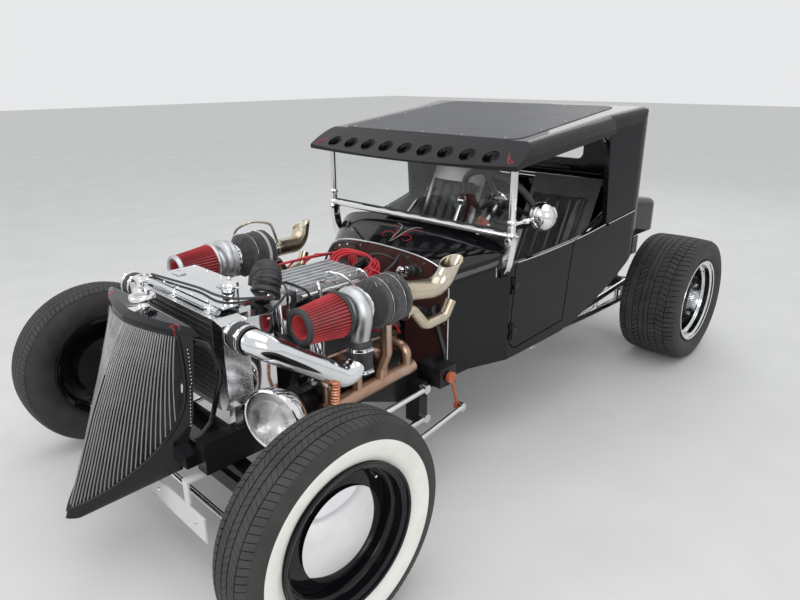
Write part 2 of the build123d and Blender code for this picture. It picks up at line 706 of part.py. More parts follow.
with BuildPart() as body_tub:
    add(shell_walls.part)
    add(side_cut.part, mode=Mode.INTERSECT)
    add(door_cut.part, mode=Mode.SUBTRACT)
    loft([arch_face(firewall_y, firewall_half, firewall_shoulder_z, firewall_top_z, 0),
          arch_face(cowl_rear_y, cowl_rear_half, cowl_shoulder_z, cowl_top_z, 0)], ruled=True)
    loft([arch_face(firewall_y - 1, firewall_half, firewall_shoulder_z, firewall_top_z, 14),
          arch_face(cowl_rear_y + 1, cowl_rear_half, cowl_shoulder_z, cowl_top_z, 14)], ruled=True,
         mode=Mode.SUBTRACT)
    with BuildSketch(Plane.XZ.offset(-body_rear_y - 10)):
        with Locations((0, (rear_window_low_z + rear_window_top_z) / 2)):
            RectangleRounded(2 * rear_window_half, rear_window_top_z - rear_window_low_z, 30)
    extrude(amount=80, mode=Mode.SUBTRACT)
    for side in (-1, 1):
        block((side * (rail_in - 1), firewall_y - 10, 0), (side * (rail_out + steel_gap), firewall_y + 80,
                                                          rail_top + steel_gap), Mode.SUBTRACT)
        for z in hinge_heights:
            hx = side * (side_wall_x(hinge_y) + hinge_r + 1)
            disc((hx, hinge_y, z - 1.5 * hinge_length), (0, 0, 1), hinge_r, hinge_length - steel_gap)
            disc((hx, hinge_y, z + 0.5 * hinge_length + steel_gap), (0, 0, 1), hinge_r,
                 hinge_length - steel_gap)
            for low in (z - 1.5 * hinge_length, z + 0.5 * hinge_length + steel_gap):
                block((hx - side * 12, hinge_y - 16, low), (hx, hinge_y - 4, low + hinge_length - steel_gap))

door_leaves = {}
for side, name in ((1, "door_left"), (-1, "door_right")):
    with BuildPart() as leaf_cut:
        with BuildSketch(Plane.YZ.offset(side * 300)) as leaf_shape:
            Polygon(*door_outline, align=None)
            fillet(leaf_shape.vertices().group_by(Axis.Y)[0] + [v for v in leaf_shape.vertices()
                   if v.Z < 500 and v.Y > 1300], 42)
            offset(amount=-door_gap, kind=Kind.INTERSECTION, mode=Mode.REPLACE)
        extrude(amount=side * 500)
    with BuildPart() as leaf:
        add(shell_walls.part)
        add(side_cut.part, mode=Mode.INTERSECT)
        add(leaf_cut.part, mode=Mode.INTERSECT)
        for z in hinge_heights:
            hx = side * (side_wall_x(hinge_y) + hinge_r + 1)
            disc((hx, hinge_y, z - 0.5 * hinge_length), (0, 0, 1), hinge_r, hinge_length)
            block((hx - side * 12, hinge_y + 5, z - 0.5 * hinge_length),
                  (hx, hinge_y + 30, z + 0.5 * hinge_length))
    door_leaves[name] = leaf

# Roof: a slab that follows the rake, hollow below, its front sloped down into a drilled visor
def roof_outline(inset, front_y, rear_y, rear_fillet):
    """The roof seen from above, at its outer edge or further in."""
    rear_half = side_wall_x(rear_y) - inset
    with BuildSketch(Plane.XY.offset(900)) as outline:
        with BuildLine():
            front_half = roof_front_half - inset
            pillar_half = side_wall_x(pillar_y) - inset
            corner_y = max(visor_corner_y, front_y)
            Polyline((-front_half, corner_y), (-pillar_half, pillar_y), (-rear_half, rear_y),
                     (rear_half, rear_y), (pillar_half, pillar_y), (front_half, corner_y))
            if front_y < corner_y:
                ThreePointArc((front_half, corner_y), (0, front_y), (-front_half, corner_y))
            else:
                Line((front_half, corner_y), (-front_half, corner_y))
        make_face()
        fillet(outline.vertices().group_by(Axis.Y)[-1], rear_fillet)
    return outline.sketch.faces()[0]


def crown_face(y, half, drop=0.0):
    """Cross section of the roof with its rounded upper edges, its top lowered by a drop."""
    low, top = eave(y) - 30, eave(y) + roof_thick - drop
    bend = roof_edge_r * (1 - cos(radians(45)))
    with BuildSketch(Plane.XZ.offset(-y)) as crown:
        with BuildLine():
            Polyline((-half, top - roof_edge_r), (-half, low), (half, low), (half, top - roof_edge_r))
            ThreePointArc((half, top - roof_edge_r), (half - bend, top - bend), (half - roof_edge_r, top))
            Line((half - roof_edge_r, top), (-half + roof_edge_r, top))
            ThreePointArc((-half + roof_edge_r, top), (-half + bend, top - bend), (-half, top - roof_edge_r))
        make_face()
    return crown.sketch.faces()[0]


header_rear_y = screen_y + 20
visor_low_y = roof_front_y - 20
visor_low_z = eave(roof_front_y) - 2 - visor_drop
visor_rise = (eave(visor_break_y) + roof_thick - visor_low_z) / (visor_break_y - visor_low_y)
with BuildPart() as roof_hollow:
    extrude(roof_outline(body_wall, header_rear_y, body_rear_y - body_wall, body_corner_r - body_wall),
            amount=500)
    with BuildSketch(Plane.YZ.offset(-700)):
        Polygon((header_rear_y - 5, 1000), (body_rear_y, 1000),
                (body_rear_y, eave(body_rear_y) + roof_thick - roof_skin),
                (visor_break_y + 20, eave(visor_break_y + 20) + roof_thick - roof_skin),
                (header_rear_y - 5, visor_low_z + visor_rise * (header_rear_y - visor_low_y) - roof_skin),
                align=None)
    extrude(amount=1400, mode=Mode.INTERSECT)
with BuildPart() as roof_crown:
    loft([crown_face(y, half) for y, half in ((visor_low_y - 10, roof_front_half),
                                              (pillar_y, side_wall_x(pillar_y)))]
         + [crown_face(body_rear_y - back, side_wall_x(body_rear_y - back), drop)
            for back, drop in ((72, 0), (42, 5), (22, 14), (7, 28), (-2, 44))], ruled=True)
with BuildPart() as roof:
    extrude(roof_outline(0, roof_front_y, body_rear_y, body_corner_r), amount=500)
    with BuildSketch(Plane.YZ.offset(-700)):
        Polygon((visor_low_y, eave(visor_low_y) - visor_drop), (screen_y - 30, eave(screen_y - 30)),
                (body_rear_y + 20, eave(body_rear_y + 20)),
                (body_rear_y + 20, eave(body_rear_y + 20) + roof_thick),
                (visor_break_y, eave(visor_break_y) + roof_thick), (visor_low_y, visor_low_z), align=None)
    extrude(amount=1400, mode=Mode.INTERSECT)
    add(roof_crown.part, mode=Mode.INTERSECT)
    add(roof_hollow.part, mode=Mode.SUBTRACT)
    with BuildSketch(Plane.YZ.offset(-roof_front_half + 30)):
        under = visor_skin / cos(atan2(visor_rise, 1))
        Polygon((visor_low_y, 1050), (screen_y - 12, 1050),
                (screen_y - 12, visor_low_z + visor_rise * (screen_y - 12 - visor_low_y) - under),
                (visor_low_y, visor_low_z - under), align=None)
    extrude(amount=2 * roof_front_half - 60, mode=Mode.SUBTRACT)
    visor_plane = Plane(origin=(0, visor_hole_y, visor_low_z + visor_rise * (visor_hole_y - visor_low_y)),
                        x_dir=(1, 0, 0), z_dir=(0, -visor_rise, 1))
    with BuildSketch(visor_plane):
        with GridLocations(visor_hole_pitch, 1, visor_holes, 1):
            Circle(visor_hole_r)
    extrude(amount=3 * visor_skin, both=True, mode=Mode.SUBTRACT)

# Short rear deck, open below
with BuildPart() as rear_deck:
    with BuildSketch(Plane.XY.offset(deck_low_z)) as deck_plan:
        with Locations((0, (body_rear_y + deck_rear_y) / 2 + steel_gap)):
            Rectangle(2 * deck_half, deck_rear_y - body_rear_y)
        fillet(deck_plan.vertices().group_by(Axis.Y)[-1], deck_corner_r)
    extrude(amount=300)
    with BuildSketch(Plane.YZ.offset(-600)):
        Polygon((body_rear_y - 5, deck_low_z), (deck_rear_y + 5, deck_low_z), (deck_rear_y + 5, deck_rear_z),
                (body_rear_y - 5, deck_front_z), align=None)
    extrude(amount=1200, mode=Mode.INTERSECT)
    deck_rim = [e for e in rear_deck.edges() if e.center().Z > deck_rear_z - 2
                and e.center().Y > body_rear_y + 5]
    fillet(deck_rim, 34)
    offset(amount=-deck_wall, openings=rear_deck.faces().sort_by(Axis.Z)[0])

# Windscreen frame with cast stanchions and the round mirror on its arm
header_z = eave(screen_y - 14) - steel_gap
screen_top_z = header_z - screen_tube_r
with BuildPart() as screen_frame:
    for z in (screen_low_z, screen_top_z):
        pipe([(-screen_half, screen_y, z), (screen_half, screen_y, z)], screen_tube_r)
    for side in (-1, 1):
        disc((side * screen_half, screen_y, screen_low_z - screen_tube_r), (0, 0, 1), screen_tube_r + 1,
             header_z - screen_low_z + screen_tube_r)
    with BuildSketch(Plane.XZ.offset(-screen_y + 18)):
        Polygon((screen_half - 14, screen_low_z - 8), (screen_half + 14, screen_low_z - 8),
                (screen_half + 8, 800), (screen_half - 2, 745), (screen_half - 18, 705), (452, 700),
                (452, 740), (478, 770), (screen_half - 14, 810), align=None)
    extrude(amount=-36)
    extrude(plan_face(steel_gap), amount=screen_low_z - screen_tube_r - 5, dir=(0, 0, 1), mode=Mode.SUBTRACT)
    mirror(about=Plane.YZ)
    pipe([(screen_half, screen_y, 905), (screen_half + 45, screen_y + 25, 925),
          (screen_half + 88, screen_y + 64, 940)], 6)
    disc((screen_half + 88, screen_y + 60, 942), (-0.25, 1, 0), 50, 14)
    disc((screen_half + 88, screen_y + 60, 942), (0.25, -1, 0), 36, 14)

# Windscreen glass
with BuildPart() as screen_glass:
    inset = screen_tube_r + 1 + steel_gap
    block((-screen_half + inset, screen_y - glass_thick / 2, screen_low_z + inset - 1),
          (screen_half - inset, screen_y + glass_thick / 2, screen_top_z - inset + 1))

# Floor pan with its tunnel and the slope behind the seats
with BuildPart() as inside:
    extrude(plan_face(-body_wall - steel_gap), amount=1400, dir=(0, 0, 1))
with BuildPart() as floor_pan:
    with BuildSketch(Plane.YZ.offset(-700)):
        Polygon((firewall_y + steel_gap, floor_z), (slope_start_y, floor_z), (slope_end_y, slope_end_z),
                (body_rear_y - body_wall - 2, slope_end_z),
                (body_rear_y - body_wall - 2, slope_end_z + sheet),
                (slope_end_y - 3, slope_end_z + sheet), (slope_start_y - 3, floor_z + sheet),
                (firewall_y + steel_gap, floor_z + sheet), align=None)
    extrude(amount=1400)
    add(inside.part, mode=Mode.INTERSECT)
    tunnel_rear_y = gearbox_rear_y + 60
    block((-tunnel_half + sheet, firewall_y, floor_z - 5), (tunnel_half - sheet, tunnel_rear_y, floor_z + 10),
          Mode.SUBTRACT)
    block((-tunnel_half, firewall_y + steel_gap, floor_z), (tunnel_half, tunnel_rear_y, tunnel_top_z))
    block((-tunnel_half + sheet, firewall_y, floor_z - 5), (tunnel_half - sheet, tunnel_rear_y - sheet,
                                                          tunnel_top_z - sheet), Mode.SUBTRACT)

# Two sheet-metal bucket seats on legs, and their pads
with BuildPart() as seats:
    for side in (-1, 1):
        x0, x1 = side * (seat_x - seat_half), side * (seat_x + seat_half)
        with BuildSketch(Plane.YZ.offset(x0)):
            Polygon((seat_front_y, seat_pan_z - 8), (seat_rear_y, seat_pan_z - 8),
                    (seat_back_top_y + 8, seat_back_top_z), (seat_back_top_y, seat_back_top_z),
                    (seat_rear_y - 6, seat_pan_z), (seat_front_y, seat_pan_z), align=None)
        extrude(amount=x1 - x0)
        for y in (seat_front_y + 20, seat_rear_y - 150):
            block((x0 + side * 20, y, floor_z + sheet + steel_gap), (x1 - side * 20, y + 20, seat_pan_z - 6))
with BuildPart() as seat_pads:
    for side in (-1, 1):
        x0, x1 = side * (seat_x - seat_half + 25), side * (seat_x + seat_half - 25)
        block((x0, seat_front_y + 10, seat_pan_z + steel_gap), (x1, seat_rear_y - 60, seat_pan_z + 50))
        back_plane = Plane(origin=((x0 + x1) / 2, seat_rear_y - 6, seat_pan_z), x_dir=(1, 0, 0),
                           z_dir=(0, -(seat_back_top_z - seat_pan_z), seat_back_top_y - seat_rear_y + 6))
        with BuildSketch(back_plane.offset(steel_gap)):
            with Locations((0, 285)):
                RectangleRounded(2 * seat_half - 50, 420, 40)
        extrude(amount=42)

# Steering column, gear lever and battery box
rake = atan2(320, 404)
column_dir = (0, cos(rake), sin(rake))


def along_column(distance):
    """A point on the column's line, measured up from the wheel's centre."""
    return tuple(c + distance * d for c, d in zip(wheel_centre, column_dir))


with BuildPart() as steering_column:
    run = (wheel_centre[1] - firewall_y) / cos(rake)
    disc(along_column(-run + 17), column_dir, 19, run - 17 - 32)
    disc((wheel_centre[0], firewall_y + steel_gap, along_column(-run)[2]), (0, 1, 0), 34, 14)
with BuildPart() as steering_wheel:
    with Locations(Plane(origin=wheel_centre, z_dir=column_dir).location):
        Torus(wheel_rim_r, wheel_grip_r)
    disc(along_column(-31.5), column_dir, 30, 38)
    wheel_plane = Plane(origin=along_column(-5), x_dir=(1, 0, 0), z_dir=column_dir)
    with BuildSketch(wheel_plane):
        with PolarLocations(wheel_rim_r / 2, 3, start_angle=-90):
            Rectangle(wheel_rim_r - 4, 26)
    extrude(amount=6)
with BuildPart() as gear_lever:
    pipe([(40, 1230, tunnel_top_z + steel_gap), (40, 1240, 700), (50, 1330, 890)], 7, 60)
    with Locations((50, 1335, 902)):
        Sphere(21)
    disc((40, 1230, tunnel_top_z + steel_gap), (0, 0, 1), 40, 14)
with BuildPart() as battery:
    with BuildSketch(Plane.YZ.offset(170)):
        Polygon((1830, floor_height(1830) + 1), (1930, floor_height(1930) + 1), (1930, 905), (1830, 905),
                align=None)
    extrude(amount=160)

# Steering parts: knuckles with brake plates, tie rod, pitman arm and drag link
knuckles = {}
boss_top = front_tyre_r + boss_height / 2
boss_low = front_tyre_r - boss_height / 2
pivot_gap = 0.5
eye_height = 24.0
arm_eye = 19.0
for side, name in ((1, "knuckle_left"), (-1, "knuckle_right")):
    with BuildPart() as knuckle:
        kx = side * kingpin_x
        low, top = boss_low - pivot_gap - lug_height, boss_top + pivot_gap + lug_height
        for z in (low, top - lug_height):
            disc((kx, 0, z), (0, 0, 1), boss_r, lug_height)
            block((kx, -18, z), (kx + side * 48, 18, z + lug_height))
        block((kx + side * 30, -22, low), (kx + side * 58, 22, top))
        disc((kx, 0, low), (0, 0, 1), kingpin_r, top - low)
        plate_x = kx + side * 58
        disc((plate_x, 0, front_tyre_r), (side, 0, 0), 122, 6)
        disc((plate_x, 0, front_tyre_r), (side, 0, 0), spindle_r, 70)
        tx, ty, tz = side * tie_ball[0], tie_ball[1], tie_ball[2]
        arm_z = tz + eye_height / 2 + pivot_gap
        pipe([(kx, 0, low + 10), (kx, -60, arm_z + 30), (tx, ty, arm_z + 9)], 9)
        disc((tx, ty, arm_z), (0, 0, 1), eye_r - 2, arm_eye)
        if side > 0:
            dx, dy, dz = drag_ball
            arm_z = dz + eye_height / 2 + pivot_gap
            pipe([(kx, 0, low + 10), (kx - 10, 70, arm_z + 30), (dx, dy, arm_z + 9)], 9)
            disc((dx, dy, arm_z), (0, 0, 1), eye_r - 2, arm_eye)
    knuckles[name] = knuckle
with BuildPart() as tie_rod:
    pipe([(-tie_ball[0], tie_ball[1], tie_ball[2]), tie_ball], link_r)
    for side in (-1, 1):
        disc((side * tie_ball[0], tie_ball[1], tie_ball[2] - eye_height / 2), (0, 0, 1), eye_r, eye_height)
with BuildPart() as pitman_arm:
    disc((pitman_x - 7, pitman_axis_y, pitman_axis_z), (1, 0, 0), 22, 14)
    pipe([(pitman_x, pitman_axis_y, pitman_axis_z), (pitman_x, pitman_ball_y, pitman_ball_z)], 6)
    disc((pitman_x - 7, pitman_ball_y, pitman_ball_z), (1, 0, 0), 17, 14)
drag_end = (pitman_x + 7 + turn_gap + 8, pitman_ball_y, pitman_ball_z)
with BuildPart() as drag_link:
    pipe([drag_ball, drag_end], link_r)
    disc((drag_ball[0], drag_ball[1], drag_ball[2] - eye_height / 2), (0, 0, 1), eye_r, eye_height)
    disc((drag_end[0] - 8, drag_end[1], drag_end[2]), (1, 0, 0), eye_r, 16)
with BuildPart() as steering_box:
    block((rail_out + steel_gap, 750, 335), (pitman_x - 14, 840, 410))
    disc((pitman_x - 14, pitman_axis_y, pitman_axis_z), (1, 0, 0), 15, 6.5)
    pipe([(385, 835, 400), (385, 835, 440), (296, firewall_y - 36, 585),
          (296, firewall_y - firewall_thick - steel_gap, 585)], 11, 25)


def ring(centre_x, centre_y, centre_z, side, points, mode=Mode.ADD):
    """Turns a closed outline of (distance out, radius) points about a wheel's axle."""
    plane = Plane(origin=(centre_x, centre_y, centre_z), x_dir=(side, 0, 0), z_dir=(0, -side, 0))
    with BuildSketch(plane) as outline:
        Polygon(*points, align=None)
    revolve(outline.sketch, axis=Axis((centre_x, centre_y, centre_z), (1, 0, 0)), mode=mode)


def dome(centre_x, centre_y, centre_z, side):
    """The bright cap of a front wheel, part of a ball whose centre is on the axle."""
    ball_at = (cap_out ** 2 - cap_edge ** 2 - front_cap_r ** 2) / (2 * (cap_out - cap_edge))
    half_way = ball_at + ((cap_out - ball_at) ** 2 - (front_cap_r / 2) ** 2) ** 0.5
    plane = Plane(origin=(centre_x, centre_y, centre_z), x_dir=(side, 0, 0), z_dir=(0, -side, 0))
    with BuildSketch(plane) as cap:
        with BuildLine():
            Polyline((cap_out, 0), (12, 0), (12, front_cap_r - 20), (26, front_cap_r),
                     (cap_edge, front_cap_r))
            ThreePointArc((cap_edge, front_cap_r), (half_way, front_cap_r / 2), (cap_out, 0))
        make_face()
    revolve(cap.sketch, axis=Axis((centre_x, centre_y, centre_z), (1, 0, 0)))


def rim_outline(width):
    """Section of a rim: two flanges, bead seats and a drop centre."""
    w = width / 2
    upper = [(-w, rim_r), (-w + rim_wall, rim_r), (-w + 14, bead_r), (-w + 40, bead_r), (-w + 48, rim_drop_r),
             (w - 48, rim_drop_r), (w - 40, bead_r), (w - 14, bead_r), (w - rim_wall, rim_r), (w, rim_r)]
    return upper + [(a, r - rim_wall) for a, r in reversed(upper)]


def tyre(centre_x, centre_y, radius, width, rim_width):
    """A tyre's ring: beads on the rim, bulged walls and a crowned tread."""
    w, b = width / 2, rim_width / 2 - 14
    wall_z = (rim_r + radius) / 2
    plane = Plane(origin=(centre_x, centre_y, radius), x_dir=(1, 0, 0), z_dir=(0, -1, 0))
    with BuildSketch(plane) as section:
        with BuildLine():
            Polyline((-b, rim_r + 2), (-b, bead_r + steel_gap), (b, bead_r + steel_gap), (b, rim_r + 2))
            ThreePointArc((b, rim_r + 2), (w, wall_z - 4), (w - 11, radius - 16))
            ThreePointArc((w - 11, radius - 16), (w - 16, radius - 8), (w - 26, radius - 3.5))
            ThreePointArc((w - 26, radius - 3.5), (0, radius), (-w + 26, radius - 3.5))
            ThreePointArc((-w + 26, radius - 3.5), (-w + 16, radius - 8), (-w + 11, radius - 16))
            ThreePointArc((-w + 11, radius - 16), (-w, wall_z - 4), (-b, rim_r + 2))
        make_face()
    revolve(section.sketch, axis=Axis((centre_x, centre_y, radius), (1, 0, 0)))


rolling = {}
wheel_rows = [("front_left", 1, 0.0, front_track_half, front_tyre_r, front_tyre_width, front_rim_width),
              ("front_right", -1, 0.0, front_track_half, front_tyre_r, front_tyre_width, front_rim_width),
              ("rear_left", 1, wheelbase, rear_track_half, rear_tyre_r, rear_tyre_width, rear_rim_width),
              ("rear_right", -1, wheelbase, rear_track_half, rear_tyre_r, rear_tyre_width, rear_rim_width)]
for name, side, y, track, radius, width, rim_width in wheel_rows:
    x = side * track
    front = name.startswith("front")
    hub_in = kingpin_x + 58 + 6 + 16 - track if front else rear_axle_end_x + pivot_gap - track
    hub_out = 18 if front else -10
    bore_end = kingpin_x + 58 + 71 - track if front else hub_in + 71
    drum_in = hub_in - 8 if front else hub_in + 4
    with BuildPart() as wheel:
        ring(x, y, radius, side, rim_outline(rim_width))
        ring(x, y, radius, side, [(hub_in, spindle_r + spindle_fit), (hub_in, hub_r), (hub_out, hub_r),
                                  (hub_out, 0), (bore_end, 0), (bore_end, spindle_r + spindle_fit)])
        if front:
            ring(x, y, radius, side, [(-4, rim_drop_r - 4), (4, rim_drop_r - 4), (20, front_cap_r - 12),
                                      (16, hub_r - 4), (8, hub_r - 4), (10, front_cap_r - 12)])
        else:
            ring(x, y, radius, side, [(-24, rim_drop_r - 4), (-14, rim_drop_r - 4), (-24, 120), (-10, 90),
                                      (-10, hub_r - 4), (-22, hub_r - 4), (-22, 90), (-36, 120)])
        ring(x, y, radius, side, [(drum_in, 112), (drum_in, 124), (-14 if front else -30, 124),
                                  (-14 if front else -30, hub_r - 4), (-22 if front else -38, hub_r - 4),
                                  (-22 if front else -38, 112)])
        if front:
            dome(x, y, radius, side)
    rolling["wheel_" + name] = wheel
    with BuildPart() as rubber:
        tyre(x, y, radius, width, rim_width)
    rolling["tyre_" + name] = rubber

pieces = {"frame": frame, "front_axle": front_axle, "suspension_links": suspension_links,
          "rear_axle": rear_axle, "engine": engine, "plenum": plenum, "headers": headers,
          "turbo_housings": turbo_housings, "turbo_blankets": turbo_blankets, "air_filters": air_filters,
          "exhausts": exhausts, "charge_pipes": charge_pipes, "intercooler": intercooler,
          "radiator": radiator, "grille_shell": grille_shell, "grille_bars": grille_bars,
          "headlamps": headlamps, "licence_plate": licence_plate, "firewall": firewall,
          "body_tub": body_tub, "roof": roof, "rear_deck": rear_deck, "windscreen_frame": screen_frame,
          "windscreen_glass": screen_glass, "floor_pan": floor_pan, "seats": seats, "seat_pads": seat_pads,
          "steering_column": steering_column, "steering_wheel": steering_wheel, "gear_lever": gear_lever,
          "battery": battery, "tie_rod": tie_rod, "pitman_arm": pitman_arm, "drag_link": drag_link,
          "steering_box": steering_box, **door_leaves, **knuckles, **rolling}
for name, piece in pieces.items():
    write(piece, name)
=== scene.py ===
"""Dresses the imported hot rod: finishes for its metal, paint, rubber and cloth, and the small pieces on it.

Places are written as the car is drawn: metres, X to the car's left, Y from the front axle to the rear,
Z up. at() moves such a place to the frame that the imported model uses.
"""
from math import atan2, cos, pi, radians, sin, sqrt

import bmesh
import bpy
from mathutils import Matrix, Vector, noise
from mathutils.bvhtree import BVHTree

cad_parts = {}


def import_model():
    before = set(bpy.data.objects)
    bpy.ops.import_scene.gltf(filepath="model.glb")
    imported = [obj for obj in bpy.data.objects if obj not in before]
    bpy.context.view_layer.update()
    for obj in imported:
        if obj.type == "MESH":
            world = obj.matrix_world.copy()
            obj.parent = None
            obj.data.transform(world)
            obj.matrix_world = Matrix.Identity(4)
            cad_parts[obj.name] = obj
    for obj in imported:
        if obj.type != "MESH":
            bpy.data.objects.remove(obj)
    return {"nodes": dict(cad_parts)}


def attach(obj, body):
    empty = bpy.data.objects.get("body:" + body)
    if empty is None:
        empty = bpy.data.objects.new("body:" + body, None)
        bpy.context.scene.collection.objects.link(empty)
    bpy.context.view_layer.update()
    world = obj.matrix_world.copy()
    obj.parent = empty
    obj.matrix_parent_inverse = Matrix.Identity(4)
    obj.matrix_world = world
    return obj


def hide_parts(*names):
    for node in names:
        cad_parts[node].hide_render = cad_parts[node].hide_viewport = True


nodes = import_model()["nodes"]
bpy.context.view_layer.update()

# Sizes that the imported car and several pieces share
FRAME_SHIFT = 1.1635
WHEELBASE = 2.440
HALF_TRACK = {"front": 0.734, "rear": 0.600}
TYRE_RADIUS = {"front": 0.325, "rear": 0.315}
AXLE_Y = {"front": 0.0, "rear": WHEELBASE}
SIDES = (("left", 1), ("right", -1))


def at(x, y, z):
    """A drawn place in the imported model's frame."""
    return Vector((x, y - FRAME_SHIFT, z))


def route(*places):
    """Drawn places, one after the other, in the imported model's frame."""
    return [at(*place) for place in places]


def wheel_middle(end, side):
    """The middle of a wheel, on its axle."""
    return at(side * HALF_TRACK[end], AXLE_Y[end], TYRE_RADIUS[end])


def from_wheel(place, end, side):
    """How far a place stands outboard of a wheel's middle, and how far from its axle."""
    away = place - wheel_middle(end, side)
    return side * away.x, sqrt(away.y ** 2 + away.z ** 2)


# Finishes
class Finish:
    """One material being wired: a shader with its colour, roughness and bump sources."""

    def __init__(self, name, colour, rough, metal=0.0, sheen=0.0, ior=1.5):
        self.material = bpy.data.materials.new(name)
        self.material.use_nodes = True
        self.tree = self.material.node_tree
        self.shader = self.tree.nodes["Principled BSDF"]
        self.colour = colour
        self.rough = rough
        self.set("Base Color", (*colour, 1))
        self.set("Roughness", rough)
        self.set("Metallic", metal)
        self.set("Sheen Weight", sheen)
        self.set("IOR", ior)
        self.material.diffuse_color = (*colour, 1)
        self.place = self.node("ShaderNodeTexCoord").outputs["Object"]

    def set(self, socket, value):
        self.shader.inputs[socket].default_value = value

    def node(self, kind, **values):
        made = self.tree.nodes.new(kind)
        for key, value in values.items():
            setattr(made, key, value)
        return made

    def link(self, source, target):
        self.tree.links.new(source, target)

    def scaled(self, scale):
        """Object coordinates stretched for a brushed or woven look."""
        mapping = self.node("ShaderNodeMapping")
        mapping.inputs["Scale"].default_value = scale
        self.link(self.place, mapping.inputs["Vector"])
        return mapping.outputs["Vector"]

    def noise(self, scale, detail=4.0, source=None):
        tex = self.node("ShaderNodeTexNoise")
        tex.inputs["Scale"].default_value = scale
        tex.inputs["Detail"].default_value = detail
        self.link(source or self.place, tex.inputs["Vector"])
        return tex.outputs["Fac"]

    def spread(self, value, low, high, start=0.3, end=0.7):
        """Maps a 0 to 1 value onto a span."""
        span = self.node("ShaderNodeMapRange")
        for key, number in zip(("From Min", "From Max", "To Min", "To Max"), (start, end, low, high)):
            span.inputs[key].default_value = number
        self.link(value, span.inputs["Value"])
        return span.outputs["Result"]

    def mix(self, factor, first, second):
        """Mixes two colours, each a tuple or a socket."""
        blend = self.node("ShaderNodeMix", data_type="RGBA")
        self.link(factor, blend.inputs["Factor"])
        for key, colour in (("A", first), ("B", second)):
            socket = [s for s in blend.inputs if s.name == key and s.type == "RGBA"][0]
            if isinstance(colour, tuple):
                socket.default_value = (*colour, 1)
            else:
                self.link(colour, socket)
        return [s for s in blend.outputs if s.type == "RGBA"][0]

    def math(self, operation, first, second=None):
        step = self.node("ShaderNodeMath", operation=operation)
        for socket, value in zip(step.inputs, (first, second)):
            if value is None:
                continue
            if isinstance(value, (int, float)):
                socket.default_value = value
            else:
                self.link(value, socket)
        return step.outputs["Value"]

    def mottle(self, size, amount, tint=None):
        """Clouds the colour, and gives the cloud back for the roughness."""
        cloud = self.noise(size)
        dark = tuple(c * (1 - amount) for c in self.colour)
        light = tint or tuple(min(1.0, c * (1 + amount)) for c in self.colour)
        self.link(self.mix(self.spread(cloud, 0, 1), dark, light), self.shader.inputs["Base Color"])
        return cloud

    def vary_rough(self, value, amount):
        """Lets the roughness follow a 0 to 1 value, by an amount to either side."""
        self.link(self.spread(value, max(0.01, self.rough - amount), self.rough + amount),
                  self.shader.inputs["Roughness"])

    def bump(self, height, strength, distance):
        """Raises the surface a little where the height is great."""
        bump = self.node("ShaderNodeBump")
        bump.inputs["Strength"].default_value = strength
        bump.inputs["Distance"].default_value = distance
        self.link(height, bump.inputs["Height"])
        self.link(bump.outputs["Normal"], self.shader.inputs["Normal"])


def paint(name, colour, rough, dust=0.1):
    """Sprayed and polished paint, with faint orange peel and dust in the roughness."""
    made = Finish(name, colour, rough, ior=1.40)
    made.mottle(4.0, 0.15, tuple(c + dust * 0.03 for c in colour))
    made.vary_rough(made.noise(30.0), rough * 0.06)
    made.bump(made.noise(420.0, 2.0), 0.05, 0.0004)
    return made.material


def bright_metal(name, colour, rough, grain=(1.0, 1.0, 1.0), depth=0.08, tint=None):
    """Plated, polished or brushed metal: the grain is stretched along one way."""
    made = Finish(name, colour, rough, metal=1.0)
    made.mottle(7.0, 0.08, tint)
    lines = made.noise(120.0, 6.0, made.scaled(grain))
    made.vary_rough(lines, rough * 0.5)
    made.bump(lines, depth, 0.0006)
    return made.material


def cast_metal(name, colour, rough):
    """Sand-cast metal with a pebbled skin."""
    made = Finish(name, colour, rough, metal=1.0)
    cloud = made.mottle(22.0, 0.14)
    made.vary_rough(cloud, 0.1)
    made.bump(made.noise(520.0, 3.0), 0.25, 0.0009)
    return made.material


def rubber(name, colour, rough, grain=700.0):
    """Dusty rubber or moulded plastic."""
    made = Finish(name, colour, rough)
    cloud = made.mottle(11.0, 0.2, tuple(c * 1.5 + 0.012 for c in colour))
    made.vary_rough(cloud, 0.12)
    made.bump(made.noise(grain, 3.0), 0.18, 0.0006)
    return made.material


def woven(name, colour, size, rough, depth, tint=None):
    """Cloth: sets of threads along all three axes, raised where they cross."""
    made = Finish(name, colour, rough, sheen=0.25)
    made.mottle(14.0, 0.25, tint)
    threads = []
    for turn in ("X", "Y", "Z"):
        wave = made.node("ShaderNodeTexWave", bands_direction=turn)
        wave.inputs["Scale"].default_value = size
        wave.inputs["Distortion"].default_value = 0.6
        made.link(made.place, wave.inputs["Vector"])
        threads.append(wave.outputs["Fac"])
    weave = made.math("ADD", made.math("MULTIPLY", threads[0], threads[1]),
                      made.math("MULTIPLY", threads[1], threads[2]))
    made.bump(weave, depth, 0.0012)
    return made.material


def leather(name, colour, rough):
    """Hide with a fine cracked grain."""
    made = Finish(name, colour, rough)
    cloud = made.mottle(9.0, 0.2, tuple(c * 1.6 + 0.01 for c in colour))
    made.vary_rough(cloud, 0.1)
    cells = made.node("ShaderNodeTexVoronoi", feature="DISTANCE_TO_EDGE")
    cells.inputs["Scale"].default_value = 260.0
    made.link(made.place, cells.inputs["Vector"])
    made.bump(cells.outputs["Distance"], 0.3, 0.0009)
    return made.material


